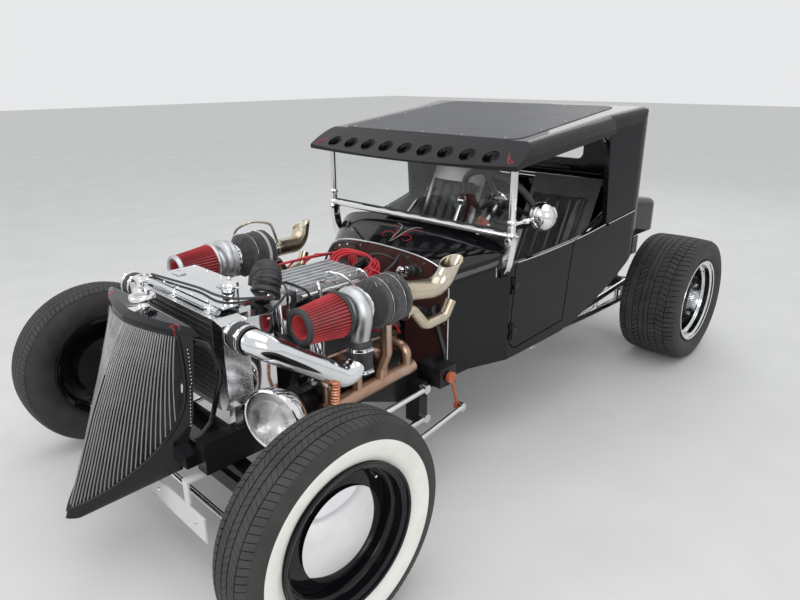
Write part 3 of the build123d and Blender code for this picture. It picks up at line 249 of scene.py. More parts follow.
def clear_glass(name, tint, ribs=0.0):
    """Clear or tinted glass, with moulded ribs where a lens has them."""
    made = Finish(name, tint, 0.01, ior=1.46)
    made.set("Transmission Weight", 1.0)
    haze = made.noise(18.0)
    made.link(made.spread(haze, 0.0, 0.03), made.shader.inputs["Roughness"])
    if ribs:
        wave = made.node("ShaderNodeTexWave", bands_direction="X")
        wave.inputs["Scale"].default_value = ribs
        made.link(made.place, wave.inputs["Vector"])
        made.bump(wave.outputs["Fac"], 0.35, 0.002)
    return made.material


def heat_tinted(name, colour, hot, rough=0.24):
    """Stainless tube coloured by heat: straw and bronze clouds over bare metal."""
    made = Finish(name, colour, rough, metal=1.0)
    cloud = made.noise(5.0, 3.0)
    tint = made.mix(made.spread(cloud, 0, 1, 0.35, 0.65), colour, hot)
    soot = made.noise(30.0, 5.0)
    made.link(made.mix(made.spread(soot, 0, 0.35, 0.5, 0.75), tint, (0.25, 0.19, 0.14)),
              made.shader.inputs["Base Color"])
    made.vary_rough(cloud, 0.09)
    made.bump(made.noise(160.0, 4.0), 0.06, 0.0006)
    return made.material


def wall_rubber(name, axle, white_from, white_to, outboard_from):
    """Tyre rubber whose outboard wall carries a white band between two radii about the axle."""
    made = Finish(name, (0.05, 0.047, 0.046), 0.72)
    parts = made.node("ShaderNodeSeparateXYZ")
    made.link(made.place, parts.inputs["Vector"])
    across = made.math("SUBTRACT", parts.outputs["Y"], axle.y)
    up = made.math("SUBTRACT", parts.outputs["Z"], axle.z)
    reach = made.math("SQRT", made.math("ADD", made.math("MULTIPLY", across, across),
                                        made.math("MULTIPLY", up, up)))
    soft = 0.0006
    inside = made.spread(reach, 1, 0, white_to - soft, white_to + soft)
    outside = made.spread(reach, 0, 1, white_from - soft, white_from + soft)
    outboard = made.spread(made.math("ABSOLUTE", parts.outputs["X"]), 0, 1, outboard_from,
                           outboard_from + 0.004)
    band = made.math("MULTIPLY", made.math("MULTIPLY", inside, outside), outboard)
    dirt = made.noise(16.0)
    black = made.mix(made.spread(dirt, 0, 1), (0.020, 0.019, 0.019), (0.050, 0.046, 0.043))
    white = made.mix(made.spread(dirt, 0, 1), (0.76, 0.75, 0.70), (0.86, 0.85, 0.80))
    made.link(made.mix(band, black, white), made.shader.inputs["Base Color"])
    made.link(made.spread(dirt, 0.6, 0.85), made.shader.inputs["Roughness"])
    made.bump(made.noise(640.0, 3.0), 0.15, 0.0006)
    return made.material


body_black = paint("body_black", (0.006, 0.006, 0.008), 0.045)
roof_satin = paint("roof_satin", (0.085, 0.087, 0.093), 0.46, 0.0)
frame_black = paint("frame_black", (0.014, 0.014, 0.015), 0.22)
wheel_black = paint("wheel_black", (0.006, 0.006, 0.008), 0.07)
engine_dark = cast_metal("engine_dark", (0.06, 0.06, 0.065), 0.5)
chrome = bright_metal("chrome", (0.86, 0.86, 0.87), 0.05, depth=0.01)
polished = bright_metal("polished_aluminium", (0.80, 0.81, 0.82), 0.10, (1, 6, 1), 0.02)
brushed = bright_metal("brushed_aluminium", (0.72, 0.73, 0.74), 0.30, (1, 12, 1), 0.10)
sheet_metal = bright_metal("bare_sheet", (0.58, 0.575, 0.56), 0.38, (9, 1, 1), 0.10)
cast_alloy = cast_metal("cast_aluminium", (0.62, 0.63, 0.64), 0.42)
tank_metal = bright_metal("tank_metal", (0.76, 0.765, 0.77), 0.22, (1, 1, 6), 0.02)
bar_metal = bright_metal("grille_bar_metal", (0.30, 0.30, 0.30), 0.36, (1, 1, 9), 0.12)
core_metal = bright_metal("cooler_core", (0.30, 0.30, 0.31), 0.42, (1, 1, 14), 0.2)
stack_steel = heat_tinted("stack_steel", (0.70, 0.66, 0.58), (0.62, 0.53, 0.39))
header_steel = heat_tinted("header_steel", (0.55, 0.42, 0.33), (0.48, 0.27, 0.18), 0.34)
copper_paint = paint("copper_paint", (0.50, 0.12, 0.05), 0.25)
blanket_cloth = woven("heat_blanket", (0.035, 0.034, 0.036), 260.0, 0.8, 0.6)
filter_gauze = woven("red_gauze", (0.50, 0.012, 0.02), 420.0, 0.7, 0.5, (0.66, 0.04, 0.05))
# A darker red gauze for the pleats' valleys: painted shade in the folds
gauze_painted_shade = woven("red_gauze_painted_fold_shade", (0.16, 0.004, 0.008), 420.0, 0.8, 0.5)
hose_black = rubber("black_hose", (0.022, 0.022, 0.024), 0.45)
moulded_black = rubber("moulded_black", (0.02, 0.02, 0.021), 0.5, 900.0)
tread_rubber = rubber("tread_rubber", (0.030, 0.028, 0.027), 0.70)
white_wall = wall_rubber("front_tyre_wall", wheel_middle("front", 1), 0.2085, 0.272, 0.76)
wire_red = rubber("red_silicone", (0.42, 0.01, 0.02), 0.38, 900.0)
seat_leather = leather("seat_leather", (0.03, 0.028, 0.028), 0.42)
screen_clear = clear_glass("screen_glass", (0.93, 0.96, 0.95))
lamp_clear = clear_glass("lamp_glass", (0.97, 0.97, 0.96), 90.0)
strap_web = woven("pale_strap", (0.62, 0.60, 0.56), 380.0, 0.7, 0.4)
copper_tube = heat_tinted("copper_tube", (0.72, 0.33, 0.20), (0.62, 0.22, 0.12), 0.28)
firewall_brown = paint("firewall_brown", (0.085, 0.035, 0.032), 0.16)
pinstripe_red = paint("pinstripe_red", (0.55, 0.02, 0.03), 0.25)
pinstripe_pale = paint("pinstripe_pale", (0.70, 0.68, 0.62), 0.25)
signal_red = clear_glass("tail_lens", (0.60, 0.01, 0.015), 60.0)
plate_white = paint("plate_white", (0.72, 0.72, 0.70), 0.35)
tank_white = rubber("tank_white", (0.75, 0.74, 0.70), 0.4)
lamp_silver = bright_metal("lamp_reflector", (0.85, 0.85, 0.86), 0.04, depth=0.0)
mirror_silver = bright_metal("mirror_silver", (0.82, 0.83, 0.84), 0.02, depth=0.0)

# Making pieces
def turning(direction):
    """Rotation that takes local X to the given direction."""
    return Vector(direction).normalized().to_track_quat("X", "Z").to_matrix()


def smooth_path(points, step=0.008):
    """Points of a soft curve through the given places."""
    points = [Vector(p) for p in points]
    if len(points) == 2:
        return points
    ends = [2 * points[0] - points[1]] + points + [2 * points[-1] - points[-2]]
    path = []
    for a, b, c, d in zip(ends, ends[1:], ends[2:], ends[3:]):
        steps = max(2, int((c - b).length / step))
        for n in range(steps):
            t = n / steps
            path.append(0.5 * (2 * b + (c - a) * t + (2 * a - 5 * b + 4 * c - d) * t * t
                               + (3 * b - a - 3 * c + d) * t ** 3))
    return path + [points[-1]]


def collar(start, end, inner, outer):
    """Section of a plain collar, or of a plain disc where the inner radius is 0."""
    return [(start, inner), (start, outer), (end, outer), (end, inner)]


class Piece:
    """A piece being built from turned, bent, boxed and sheet forms, each with one of its finishes."""

    def __init__(self, name, body, *finishes, slot, replaces=(), sharp=38):
        self.name, self.body, self.finishes = name, body, finishes
        self.slot, self.replaced, self.sharp = slot, replaces, sharp
        self.mesh = bmesh.new()

    def take(self, part, finish, weld=0.0):
        """Takes in a closed part, its corners joined where they meet and its faces turned outwards."""
        if weld:
            bmesh.ops.remove_doubles(part, verts=part.verts, dist=weld)
            bmesh.ops.dissolve_degenerate(part, edges=part.edges, dist=1e-7)
            bmesh.ops.recalc_face_normals(part, faces=part.faces)
        for face in part.faces:
            face.material_index = finish
        held = bpy.data.meshes.new("held")
        part.to_mesh(held)
        part.free()
        self.mesh.from_mesh(held)
        bpy.data.meshes.remove(held)

    def add(self, points, faces, finish=0):
        """Adds a closed part given by its corners and faces."""
        part = bmesh.new()
        corners = [part.verts.new(p) for p in points]
        for face in faces:
            part.faces.new([corners[n] for n in face])
        self.take(part, finish, 1e-6)

    def turn(self, profile, origin, direction, finish=0, segments=48, shape=None):
        """Turns (distance along, radius) points about an axis. shape(along, radius, angle) may work the
        radius, and points on the axis close to a pole."""
        middle, frame_turn = Vector(origin), turning(direction)
        points, faces, count = [], [], len(profile)
        for a, r in profile:
            for n in range(segments):
                angle = 2 * pi * n / segments
                worked = shape(a, r, angle) if shape else r
                points.append(middle + frame_turn @ Vector((a, worked * cos(angle), worked * sin(angle))))
        for i in range(count):
            j = (i + 1) % count
            for n in range(segments):
                m = (n + 1) % segments
                faces.append((i * segments + n, i * segments + m, j * segments + m, j * segments + n))
        self.add(points, faces, finish)

    def tube(self, points, radius, finish=0, sides=12, step=0.008, soft=True, ribs=None, loop=False):
        """A bar or hose along a path. ribs is (pitch, depth) for a corrugated hose."""
        path = smooth_path(points, step) if soft else [Vector(p) for p in points]
        count = len(path)
        aim = (path[1] - path[0]).normalized()
        side = aim.orthogonal().normalized()
        places, faces, run = [], [], 0.0
        for n, point in enumerate(path):
            ahead = path[(n + 1) % count] if (loop or n + 1 < count) else path[n]
            behind = path[n - 1] if (loop or n) else path[n]
            new_aim = (ahead - behind).normalized()
            side = (side - new_aim * side.dot(new_aim)).normalized()
            up = new_aim.cross(side)
            run += (point - behind).length if n else 0.0
            r = radius(n / (count - 1)) if callable(radius) else radius
            if ribs:
                r -= ribs[1] * (0.5 + 0.5 * cos(2 * pi * run / ribs[0]))
            places += [point + side * r * cos(2 * pi * k / sides) + up * r * sin(2 * pi * k / sides)
                       for k in range(sides)]
        for n in range(count if loop else count - 1):
            m = (n + 1) % count
            for k in range(sides):
                q = (k + 1) % sides
                faces.append((n * sides + k, n * sides + q, m * sides + q, m * sides + k))
        if not loop:
            faces += [tuple(range(sides)), tuple((count - 1) * sides + k for k in range(sides))]
        self.add(places, faces, finish)

    def box(self, low, high, finish, bevel):
        """A block between two opposite corners, with softened edges."""
        low, high = Vector(low), Vector(high)
        middle, size = (low + high) / 2, high - low
        part = bmesh.new()
        bmesh.ops.create_cube(part, size=1.0)
        bmesh.ops.scale(part, vec=[abs(c) for c in size], verts=part.verts)
        bmesh.ops.bevel(part, geom=part.edges[:], offset=min(bevel, min(abs(c) for c in size) * 0.45),
                        segments=2, affect="EDGES", profile=0.5)
        bmesh.ops.translate(part, vec=middle, verts=part.verts)
        self.take(part, finish)

    def plate(self, outline, along, thick, finish, bevel):
        """A flat outline of places given a thickness along a direction."""
        push = Vector(along).normalized() * thick
        outline = [Vector(p) for p in outline]
        count = len(outline)
        points = outline + [p + push for p in outline]
        faces = [tuple(range(count)), tuple(range(2 * count - 1, count - 1, -1))]
        faces += [(n, (n + 1) % count, count + (n + 1) % count, count + n) for n in range(count)]
        part = bmesh.new()
        corners = [part.verts.new(p) for p in points]
        for face in faces:
            part.faces.new([corners[n] for n in face])
        bmesh.ops.recalc_face_normals(part, faces=part.faces)
        rims = [e for e in part.edges
                if abs((e.verts[0].co - e.verts[1].co).normalized().dot(push.normalized())) < 0.5]
        bmesh.ops.bevel(part, geom=rims, offset=bevel, segments=2, affect="EDGES", profile=0.5)
        self.take(part, finish)

    def done(self):
        """The finished object, riding on its body."""
        data = bpy.data.meshes.new(self.name)
        self.mesh.to_mesh(data)
        self.mesh.free()
        for finish in self.finishes:
            data.materials.append(finish)
        return finished(self.name, data, self.body, self.slot, self.replaced, self.sharp)


def finished(name, data, body, slot=None, replaced=(), sharp=38):
    """Makes an object of a finished mesh and says what body it rides on and what it replaces."""
    for face in data.polygons:
        face.use_smooth = True
    data.set_sharp_from_angle(angle=radians(sharp))
    piece = bpy.data.objects.new(name, data)
    bpy.context.scene.collection.objects.link(piece)
    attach(piece, body)
    if replaced:
        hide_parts(*replaced)
    return piece


# Repeats made by Geometry Nodes
def new_tree(name, *inputs):
    """A geometry tree with a mesh input and named sizes."""
    tree = bpy.data.node_groups.new(name, "GeometryNodeTree")
    tree.interface.new_socket("Geometry", in_out="INPUT", socket_type="NodeSocketGeometry")
    for label, kind in inputs:
        tree.interface.new_socket(label, in_out="INPUT", socket_type=kind)
    tree.interface.new_socket("Geometry", in_out="OUTPUT", socket_type="NodeSocketGeometry")
    return tree


def chain(tree, kind, links=(), **values):
    """Adds a node and wires its inputs by name or place."""
    made = tree.nodes.new(kind)
    for key, value in values.items():
        setattr(made, key, value)
    for socket, source in links:
        target = made.inputs[socket]
        if isinstance(source, bpy.types.NodeSocket):
            tree.links.new(source, target)
        else:
            target.default_value = source
    return made


def end_tree(tree, geometry, material):
    """Turns a tree's copies into plain mesh with one finish."""
    realised = chain(tree, "GeometryNodeRealizeInstances", [("Geometry", geometry)])
    coated = chain(tree, "GeometryNodeSetMaterial", [("Geometry", realised.outputs["Geometry"]),
                                                     ("Material", material)])
    out = tree.nodes.new("NodeGroupOutput")
    tree.links.new(coated.outputs["Geometry"], out.inputs[0])


def ring_tree():
    """Repeats the mesh round the X axis and moves the ring to its wheel."""
    tree = new_tree("round_the_axle", ("Count", "NodeSocketInt"), ("Centre", "NodeSocketVector"),
                    ("Finish", "NodeSocketMaterial"))
    group = tree.nodes.new("NodeGroupInput")
    line = chain(tree, "GeometryNodeMeshLine", [("Count", group.outputs["Count"]), ("Offset", (0, 0, 0))])
    index = tree.nodes.new("GeometryNodeInputIndex")
    share = chain(tree, "ShaderNodeMath", [(0, index.outputs[0]), (1, group.outputs["Count"])],
                  operation="DIVIDE")
    turn = chain(tree, "ShaderNodeMath", [(0, share.outputs[0]), (1, 2 * pi)], operation="MULTIPLY")
    spin = chain(tree, "ShaderNodeCombineXYZ", [("X", turn.outputs[0])])
    copies = chain(tree, "GeometryNodeInstanceOnPoints",
                   [("Points", line.outputs["Mesh"]), ("Instance", group.outputs["Geometry"]),
                    ("Rotation", spin.outputs[0])])
    moved = chain(tree, "GeometryNodeTransform", [("Geometry", copies.outputs["Instances"]),
                                                  ("Translation", group.outputs["Centre"])])
    end_tree(tree, moved.outputs["Geometry"], group.outputs["Finish"])
    return tree


def fastener_tree():
    """Stands a hexagon head on a washer at every point, facing the way its facing attribute says."""
    tree = new_tree("fasteners", ("Head Radius", "NodeSocketFloat"), ("Head Height", "NodeSocketFloat"),
                    ("Head Sides", "NodeSocketInt"), ("Finish", "NodeSocketMaterial"))
    group = tree.nodes.new("NodeGroupInput")
    radius, height = group.outputs["Head Radius"], group.outputs["Head Height"]
    washer_r = chain(tree, "ShaderNodeMath", [(0, radius), (1, 1.35)], operation="MULTIPLY")
    thin = chain(tree, "ShaderNodeMath", [(0, height), (1, 0.3)], operation="MULTIPLY")
    washer = chain(tree, "GeometryNodeMeshCylinder", [("Vertices", 16), ("Radius", washer_r.outputs[0]),
                                                      ("Depth", thin.outputs[0])])
    head = chain(tree, "GeometryNodeMeshCylinder", [("Vertices", group.outputs["Head Sides"]),
                                                    ("Radius", radius), ("Depth", height)])
    lift = chain(tree, "ShaderNodeMath", [(0, height), (1, 0.6)], operation="MULTIPLY")
    up = chain(tree, "ShaderNodeCombineXYZ", [("Z", lift.outputs[0])])
    raised = chain(tree, "GeometryNodeTransform", [("Geometry", head.outputs["Mesh"]),
                                                   ("Translation", up.outputs[0])])
    both = tree.nodes.new("GeometryNodeJoinGeometry")
    tree.links.new(washer.outputs["Mesh"], both.inputs[0])
    tree.links.new(raised.outputs["Geometry"], both.inputs[0])
    facing = chain(tree, "GeometryNodeInputNamedAttribute", [("Name", "facing")], data_type="FLOAT_VECTOR")
    aim = chain(tree, "FunctionNodeAlignRotationToVector", [("Vector", facing.outputs["Attribute"])],
                axis="Z")
    copies = chain(tree, "GeometryNodeInstanceOnPoints",
                   [("Points", group.outputs["Geometry"]), ("Instance", both.outputs[0]),
                    ("Rotation", aim.outputs["Rotation"])])
    end_tree(tree, copies.outputs["Instances"], group.outputs["Finish"])
    return tree


def fin_tree():
    """Repeats a thin block along a line."""
    tree = new_tree("rows_of_fins", ("Count", "NodeSocketInt"), ("Step", "NodeSocketVector"),
                    ("Start", "NodeSocketVector"), ("Size", "NodeSocketVector"),
                    ("Finish", "NodeSocketMaterial"))
    group = tree.nodes.new("NodeGroupInput")
    line = chain(tree, "GeometryNodeMeshLine", [("Count", group.outputs["Count"]),
                                                ("Start Location", group.outputs["Start"]),
                                                ("Offset", group.outputs["Step"])])
    block = chain(tree, "GeometryNodeMeshCube", [("Size", group.outputs["Size"])])
    copies = chain(tree, "GeometryNodeInstanceOnPoints", [("Points", line.outputs["Mesh"]),
                                                          ("Instance", block.outputs["Mesh"])])
    end_tree(tree, copies.outputs["Instances"], group.outputs["Finish"])
    return tree


RING, FASTENER, FINS = ring_tree(), fastener_tree(), fin_tree()


def grown(name, data, tree, values, body, slot=None):
    """Runs a tree on a mesh and keeps the plain result as a piece."""
    seed = bpy.data.objects.new(name + "_seed", data)
    bpy.context.scene.collection.objects.link(seed)
    modifier = seed.modifiers.new("repeat", "NODES")
    modifier.node_group = tree
    for item in tree.interface.items_tree:
        if item.item_type == "SOCKET" and item.in_out == "INPUT" and item.name in values:
            modifier[item.identifier] = values[item.name]
    bpy.context.view_layer.update()
    result = bpy.data.meshes.new_from_object(seed.evaluated_get(bpy.context.evaluated_depsgraph_get()))
    result.name = name
    bpy.data.objects.remove(seed)
    return finished(name, result, body, slot)


def fasteners(name, places, radius, height, finish, sides=6):
    """Bolt or rivet heads at (place, facing) pairs."""
    data = bpy.data.meshes.new(name)
    data.from_pydata([tuple(p) for p, _ in places], [], [])
    facing = data.attributes.new("facing", "FLOAT_VECTOR", "POINT")
    for n, (_, way) in enumerate(places):
        facing.data[n].vector = Vector(way).normalized()
    return grown(name, data, FASTENER, {"Head Radius": radius, "Head Height": height, "Head Sides": sides,
                                        "Finish": finish}, "chassis")


def fins(name, start, step, count, size, finish):
    """A row of thin blocks."""
    data = bpy.data.meshes.new(name)
    return grown(name, data, FINS, {"Count": count, "Step": step, "Start": start, "Size": size,
                                    "Finish": finish}, "chassis")


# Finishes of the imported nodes
def coat(node, *finishes, pick=None):
    """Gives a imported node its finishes. pick(place, normal) says which one a face takes."""
    data = nodes[node].data
    data.materials.clear()
    for finish in finishes:
        data.materials.append(finish)
    for face in data.polygons:
        face.material_index = pick(face.center, face.normal) if pick else 0


def inward(place, normal):
    """Picks the faces that look into the cab, where the sheet metal is bare."""
    return int(normal.x * place.x < -0.25 * abs(place.x) and abs(normal.x) > 0.3)


def underside(place, normal):
    """Picks the faces that look down."""
    return int(normal.z < -0.3)


def cooler_core(place, normal):
    """Picks the cooler's core, between its two end tanks and its top and bottom rails."""
    return int(abs(place.x) < 0.2495 and 0.486 < place.z < 0.7745)


def shell_cap(place, normal):
    """Picks the boss on top of the grille shell that carries the ornament."""
    return int(place.z > 0.7755 and (place - at(0, -0.106, place.z)).length < 0.038)


def front_disc(side):
    """Picks the dished disc of a front wheel."""
    def pick(place, normal):
        out, reach = from_wheel(place, "front", side)
        return int(out > 0.0245 and reach < 0.1305)
    return pick


def rear_rim(side):
    """Picks the polished outer rim of a rear wheel."""
    def pick(place, normal):
        out, reach = from_wheel(place, "rear", side)
        return int(out > 0.05 and reach > 0.16)
    return pick


plain_coats = {
    "frame": frame_black, "front_axle": frame_black, "suspension_links": polished, "rear_axle": engine_dark,
    "engine": engine_dark, "plenum": cast_alloy, "headers": header_steel, "turbo_housings": cast_alloy,
    "turbo_blankets": blanket_cloth, "exhausts": stack_steel, "charge_pipes": polished,
    "air_filters": filter_gauze, "grille_bars": bar_metal, "licence_plate": plate_white,
    "firewall": firewall_brown, "rear_deck": body_black, "windscreen_frame": chrome,
    "windscreen_glass": screen_clear, "floor_pan": sheet_metal, "seats": sheet_metal,
    "seat_pads": seat_leather, "steering_column": polished, "steering_wheel": moulded_black,
    "gear_lever": chrome, "battery": brushed, "tie_rod": polished, "pitman_arm": copper_paint,
    "drag_link": polished, "steering_box": engine_dark, "knuckle_left": frame_black,
    "knuckle_right": frame_black, "headlamps": chrome, "radiator": polished,
}
for node_name, finish in plain_coats.items():
    coat(node_name, finish)
for node_name in ("body_tub", "door_left", "door_right"):
    coat(node_name, body_black, sheet_metal, pick=inward)
coat("roof", body_black, moulded_black, pick=underside)
coat("intercooler", tank_metal, core_metal, pick=cooler_core)
coat("grille_shell", body_black, chrome, pick=shell_cap)
for name, side in SIDES:
    coat(f"wheel_front_{name}", wheel_black, chrome, pick=front_disc(side))
    coat(f"wheel_rear_{name}", wheel_black, polished, pick=rear_rim(side))


# Tyres
BEAD_RADIUS, GROOVE = 0.208, 0.007


def wall_profile(width, radius, rim_width, groove):
    """Carcass section: (across, radius) points with the tread band let in by the groove depth."""
    wide, bead, foot, shoulder = width / 2, rim_width / 2 - 0.014, BEAD_RADIUS + 0.002, radius - 0.016
    wall_top = wide - 0.011
    wall = []
    for n in range(9):
        t = n / 8
        bulge = 4 * t * (1 - t) * (wide - (bead + wall_top) / 2)
        wall.append((bead + (wall_top - bead) * t + bulge, foot + t * (shoulder - foot)))
    top = [(wide - 0.013, radius - 0.0135 - groove * 0.3), (wide - 0.022, radius - 0.005 - groove)]
    crown = [(wide * 0.5, radius - 0.0008 - groove), (0.0, radius - groove)]
    half = [(bead, 0.1943)] + wall + top + crown
    return half + [(-a, r) for a, r in reversed(half[:-1])]


def crown_height(across, width, radius):
    """Radius of the tread's face at a distance from its middle."""
    flat, drop = width / 2 - 0.026, 0.0035
    share = abs(across) / flat
    if share <= 1:
        return radius - drop * share * share
    return radius - drop - (abs(across) - flat) * 0.55


def tread_block(width, radius, groove, row, count):
    """One block of a tread row about the X axis: row is (from, to, slant, slot width)."""
    start, end, slant, slot = row
    half = pi / count - slot / (2 * radius)
    points, steps = [], 3
    for level in ("foot", "face"):
        for n in range(steps + 1):
            x = start + (end - start) * n / steps
            lean = slant * (x - (start + end) / 2) / radius
            if level == "face":
                r = crown_height(x, width, radius)
            else:
                r = radius - groove - (0.018 if abs(x) > width / 2 - 0.03 else 0.006)
            for turn in (lean - half, lean + half):
                points.append((x, r * sin(turn), r * cos(turn)))
    top, last = 2 * (steps + 1), 2 * steps
    faces = [(0, 1, top + 1, top), (last, top + last, top + last + 1, last + 1)]
    for a in range(0, last, 2):
        faces += [(a, a + 2, a + 3, a + 1), (top + a, top + a + 1, top + a + 3, top + a + 2),
                  (a, top + a, top + a + 2, a + 2), (a + 1, a + 3, top + a + 3, top + a + 1)]
    part = bmesh.new()
    corners = [part.verts.new(p) for p in points]
    for face in faces:
        part.faces.new([corners[n] for n in face])
    bmesh.ops.recalc_face_normals(part, faces=part.faces)
    data = bpy.data.meshes.new("tread_block")
    part.to_mesh(data)
    part.free()
    return data


# Each tread row's edges across the tyre, its slant and the width of the slots between its blocks
front_rows = [(-0.068, -0.041, 0.35, 0.0022), (-0.037, -0.0135, -0.75, 0.0014),
              (-0.0095, 0.0095, 0.85, 0.0012), (0.0135, 0.037, -0.75, 0.0014), (0.041, 0.068, 0.35, 0.0022)]
rear_rows = [(-0.140, -0.106, 0.7, 0.005), (-0.102, -0.070, 0.0, 0.0008), (-0.066, -0.036, 0.9, 0.006),
             (-0.032, -0.011, 0.0, 0.0008), (-0.007, 0.012, 0.0, 0.0008), (0.016, 0.048, 0.35, 0.004),
             (0.052, 0.090, -0.3, 0.005), (0.094, 0.140, 0.15, 0.005)]
for end, width, rim_width, count, rows, wall in (("front", 0.1574, 0.140, 104, front_rows, white_wall),
                                                 ("rear", 0.300, 0.272, 72, rear_rows, tread_rubber)):
    for hand, side in SIDES:
        name, radius, centre = f"{end}_{hand}", TYRE_RADIUS[end], wheel_middle(end, side)
        carcass = Piece(f"carcass_{name}", f"wheel_{name}", wall, slot="tyre_rubber",
                        replaces=(f"tyre_{name}",), sharp=50)
        carcass.turn(wall_profile(width, radius, rim_width, GROOVE), centre, (side, 0, 0), segments=144)
        carcass.done()
        for n, (start, stop, slant, slot) in enumerate(rows):
            row = (start, stop, slant, slot) if side > 0 else (-stop, -start, -slant, slot)
            grown(f"tread_{name}_{n}", tread_block(width, radius, GROOVE, row, count), RING,
                  {"Count": count, "Centre": centre, "Finish": tread_rubber}, f"wheel_{name}", "tyre_rubber")


# Turbo rows: filter, snail, blanket, stack
PLEATS, PLEAT_DEPTH, CAP_PLEAT_DEPTH = 38, 0.0078, 0.0040


def fold(angle):
    """0 on a pleat's crest and 1 in its valley."""
    return 1 - abs(2 * ((angle * PLEATS / (2 * pi)) % 1) - 1)


def pleated(a, r, angle):
    """A filter's radius: folded round its side, and less deeply round its end cap."""
    if 0.011 < a < 0.152 and r > 0.05:
        return r - PLEAT_DEPTH * fold(angle)
    if 0.0065 < a < 0.076 and 0.013 < r < 0.039:
        return r - CAP_PLEAT_DEPTH * fold(angle)
    return r


def band_clamp(piece, origin, way, radius, finish=0, width=0.012, bolt_way=(0, 0, 1)):
    """A worm clamp: a bright band with raised edges and its screw housing."""
    w = width / 2
    piece.turn([(-w, radius), (-w, radius + 0.0014), (-w * 0.7, radius + 0.0018), (-w * 0.6, radius + 0.0012),
                (w * 0.6, radius + 0.0012), (w * 0.7, radius + 0.0018), (w, radius + 0.0014), (w, radius)],
               origin, way, finish, 48)
    up = Vector(bolt_way).normalized()
    across = Vector(way).normalized().cross(up)
    seat = Vector(origin) + up * (radius + 0.004)
    piece.turn(collar(-0.009, 0.009, 0, 0.0042), seat, across, finish, 10)
    piece.turn([(0.009, 0), (0.009, 0.0055), (0.014, 0.0055), (0.0145, 0.003), (0.0145, 0)], seat, across,
               finish, 6)


# Each turbo row's side and its height: the two stand a little apart
TURBO_X, TURBO_ROWS = 0.375, ((1, 0.727), (-1, 0.744))
BLANKET_TIES = (0.049, 0.103)
filters = Piece("pleated_filters", "chassis", filter_gauze, hose_black, cast_alloy, gauze_painted_shade,
                slot="filter_red", replaces=("air_filters",), sharp=60)
snails = Piece("compressor_snails", "chassis", cast_alloy, polished, slot="aluminium",
               replaces=("turbo_housings",), sharp=42)
for side, z in TURBO_ROWS:
    x = side * TURBO_X
    mouth = at(x, 0.180, z)
    rim_finish, thick = (1, 0.0015) if side > 0 else (2, 0.0)
    filters.turn([(0.080, 0), (0.079, 0.013), (0.075, 0.0155), (0.042, 0.027), (0.007, 0.0385),
                  (0.004, 0.043), (0.007, 0.056), (0.012, 0.0568), (0.050, 0.0608), (0.100, 0.0664),
                  (0.151, 0.0728), (0.153, 0.070), (0.157, 0.070), (0.157, 0)], mouth, (0, 1, 0),
                 0, 4 * PLEATS, pleated)
    filters.turn([(0.0, 0.045), (0.0015, 0.0415), (0.006, 0.0395 - thick), (0.011, 0.0400), (0.011, 0.055),
                  (0.0145, 0.0575), (0.0115, 0.0592 + thick / 2), (0.0055, 0.0592 + thick / 2),
                  (0.0012, 0.057)], mouth, (0, 1, 0), rim_finish, 96)
    filters.turn([(0.147, 0.060), (0.146, 0.0742), (0.149, 0.0765), (0.157, 0.0765), (0.160, 0.073),
                  (0.160, 0.048)], mouth, (0, 1, 0), rim_finish, 96)

    spiral = []
    for n in range(23):
        turn_angle = radians(-30 - 15 * n)
        reach = 0.045 + 0.013 * n / 22
        spiral.append(at(x + side * reach * cos(turn_angle), 0.386, z + reach * sin(turn_angle)))
    spiral += [at(x + side * out, 0.386, z - drop) for out, drop in (
        (0.0565, 0.020), (0.050, 0.048), (0.044, 0.074), (0.040, 0.0985))]
    snails.tube(spiral, lambda t: min(0.0300, 0.011 + 0.0255 * t), 0, 28, 0.006)
    snails.turn([(0, 0.029), (0, 0.0335), (0.004, 0.0345), (0.009, 0.0335), (0.011, 0.029)],
                at(x + side * 0.040, 0.386, z - 0.088), (0, 0, -1), 0, 40)
    snails.turn([(0, 0), (0, 0.046), (0.0015, 0.0505), (0.006, 0.0525), (0.010, 0.0518), (0.013, 0.0485),
                 (0.020, 0.0485), (0.030, 0.053), (0.040, 0.058), (0.050, 0.060), (0.0555, 0.0705),
                 (0.058, 0.0745), (0.0655, 0.0755), (0.072, 0.0745), (0.074, 0.070), (0.078, 0.056),
                 (0.083, 0.0500), (0.107, 0.0470), (0.107, 0)], at(x, 0.3405, z), (0, 1, 0), 0, 96)
    band_clamp(snails, at(x, 0.4335, z), (0, 1, 0), 0.0505, 1, 0.014, (-side * 0.6, 0, 0.8))
    snails.box(at(x - 0.016, 0.425, z - 0.075), at(x + 0.016, 0.447, z - 0.046), 0, 0.004)
# Faces sunk deep in each pleat's valley take the darker gauze: painted shade in the folds
for face in filters.done().data.polygons:
    side, z = TURBO_ROWS[0] if face.center.x > 0 else TURBO_ROWS[1]
    out = face.center - at(side * TURBO_X, 0.180, z)
    along, reach = out.y, sqrt(out.x ** 2 + out.z ** 2)
    if face.material_index == 0 and 0.012 < along < 0.150 and reach > 0.045:
        crest = 0.0568 + (along - 0.012) * 0.115
        face.material_index = 3 if crest - reach > 0.0038 else 0
snails.done()
fasteners("snail_bolts", [(at(side * TURBO_X + 0.068 * cos(n * pi / 5), 0.4142, z + 0.068 * sin(n * pi / 5)),
                           (0, 1, 0)) for side, z in TURBO_ROWS for n in range(10)], 0.0038, 0.004, chrome)


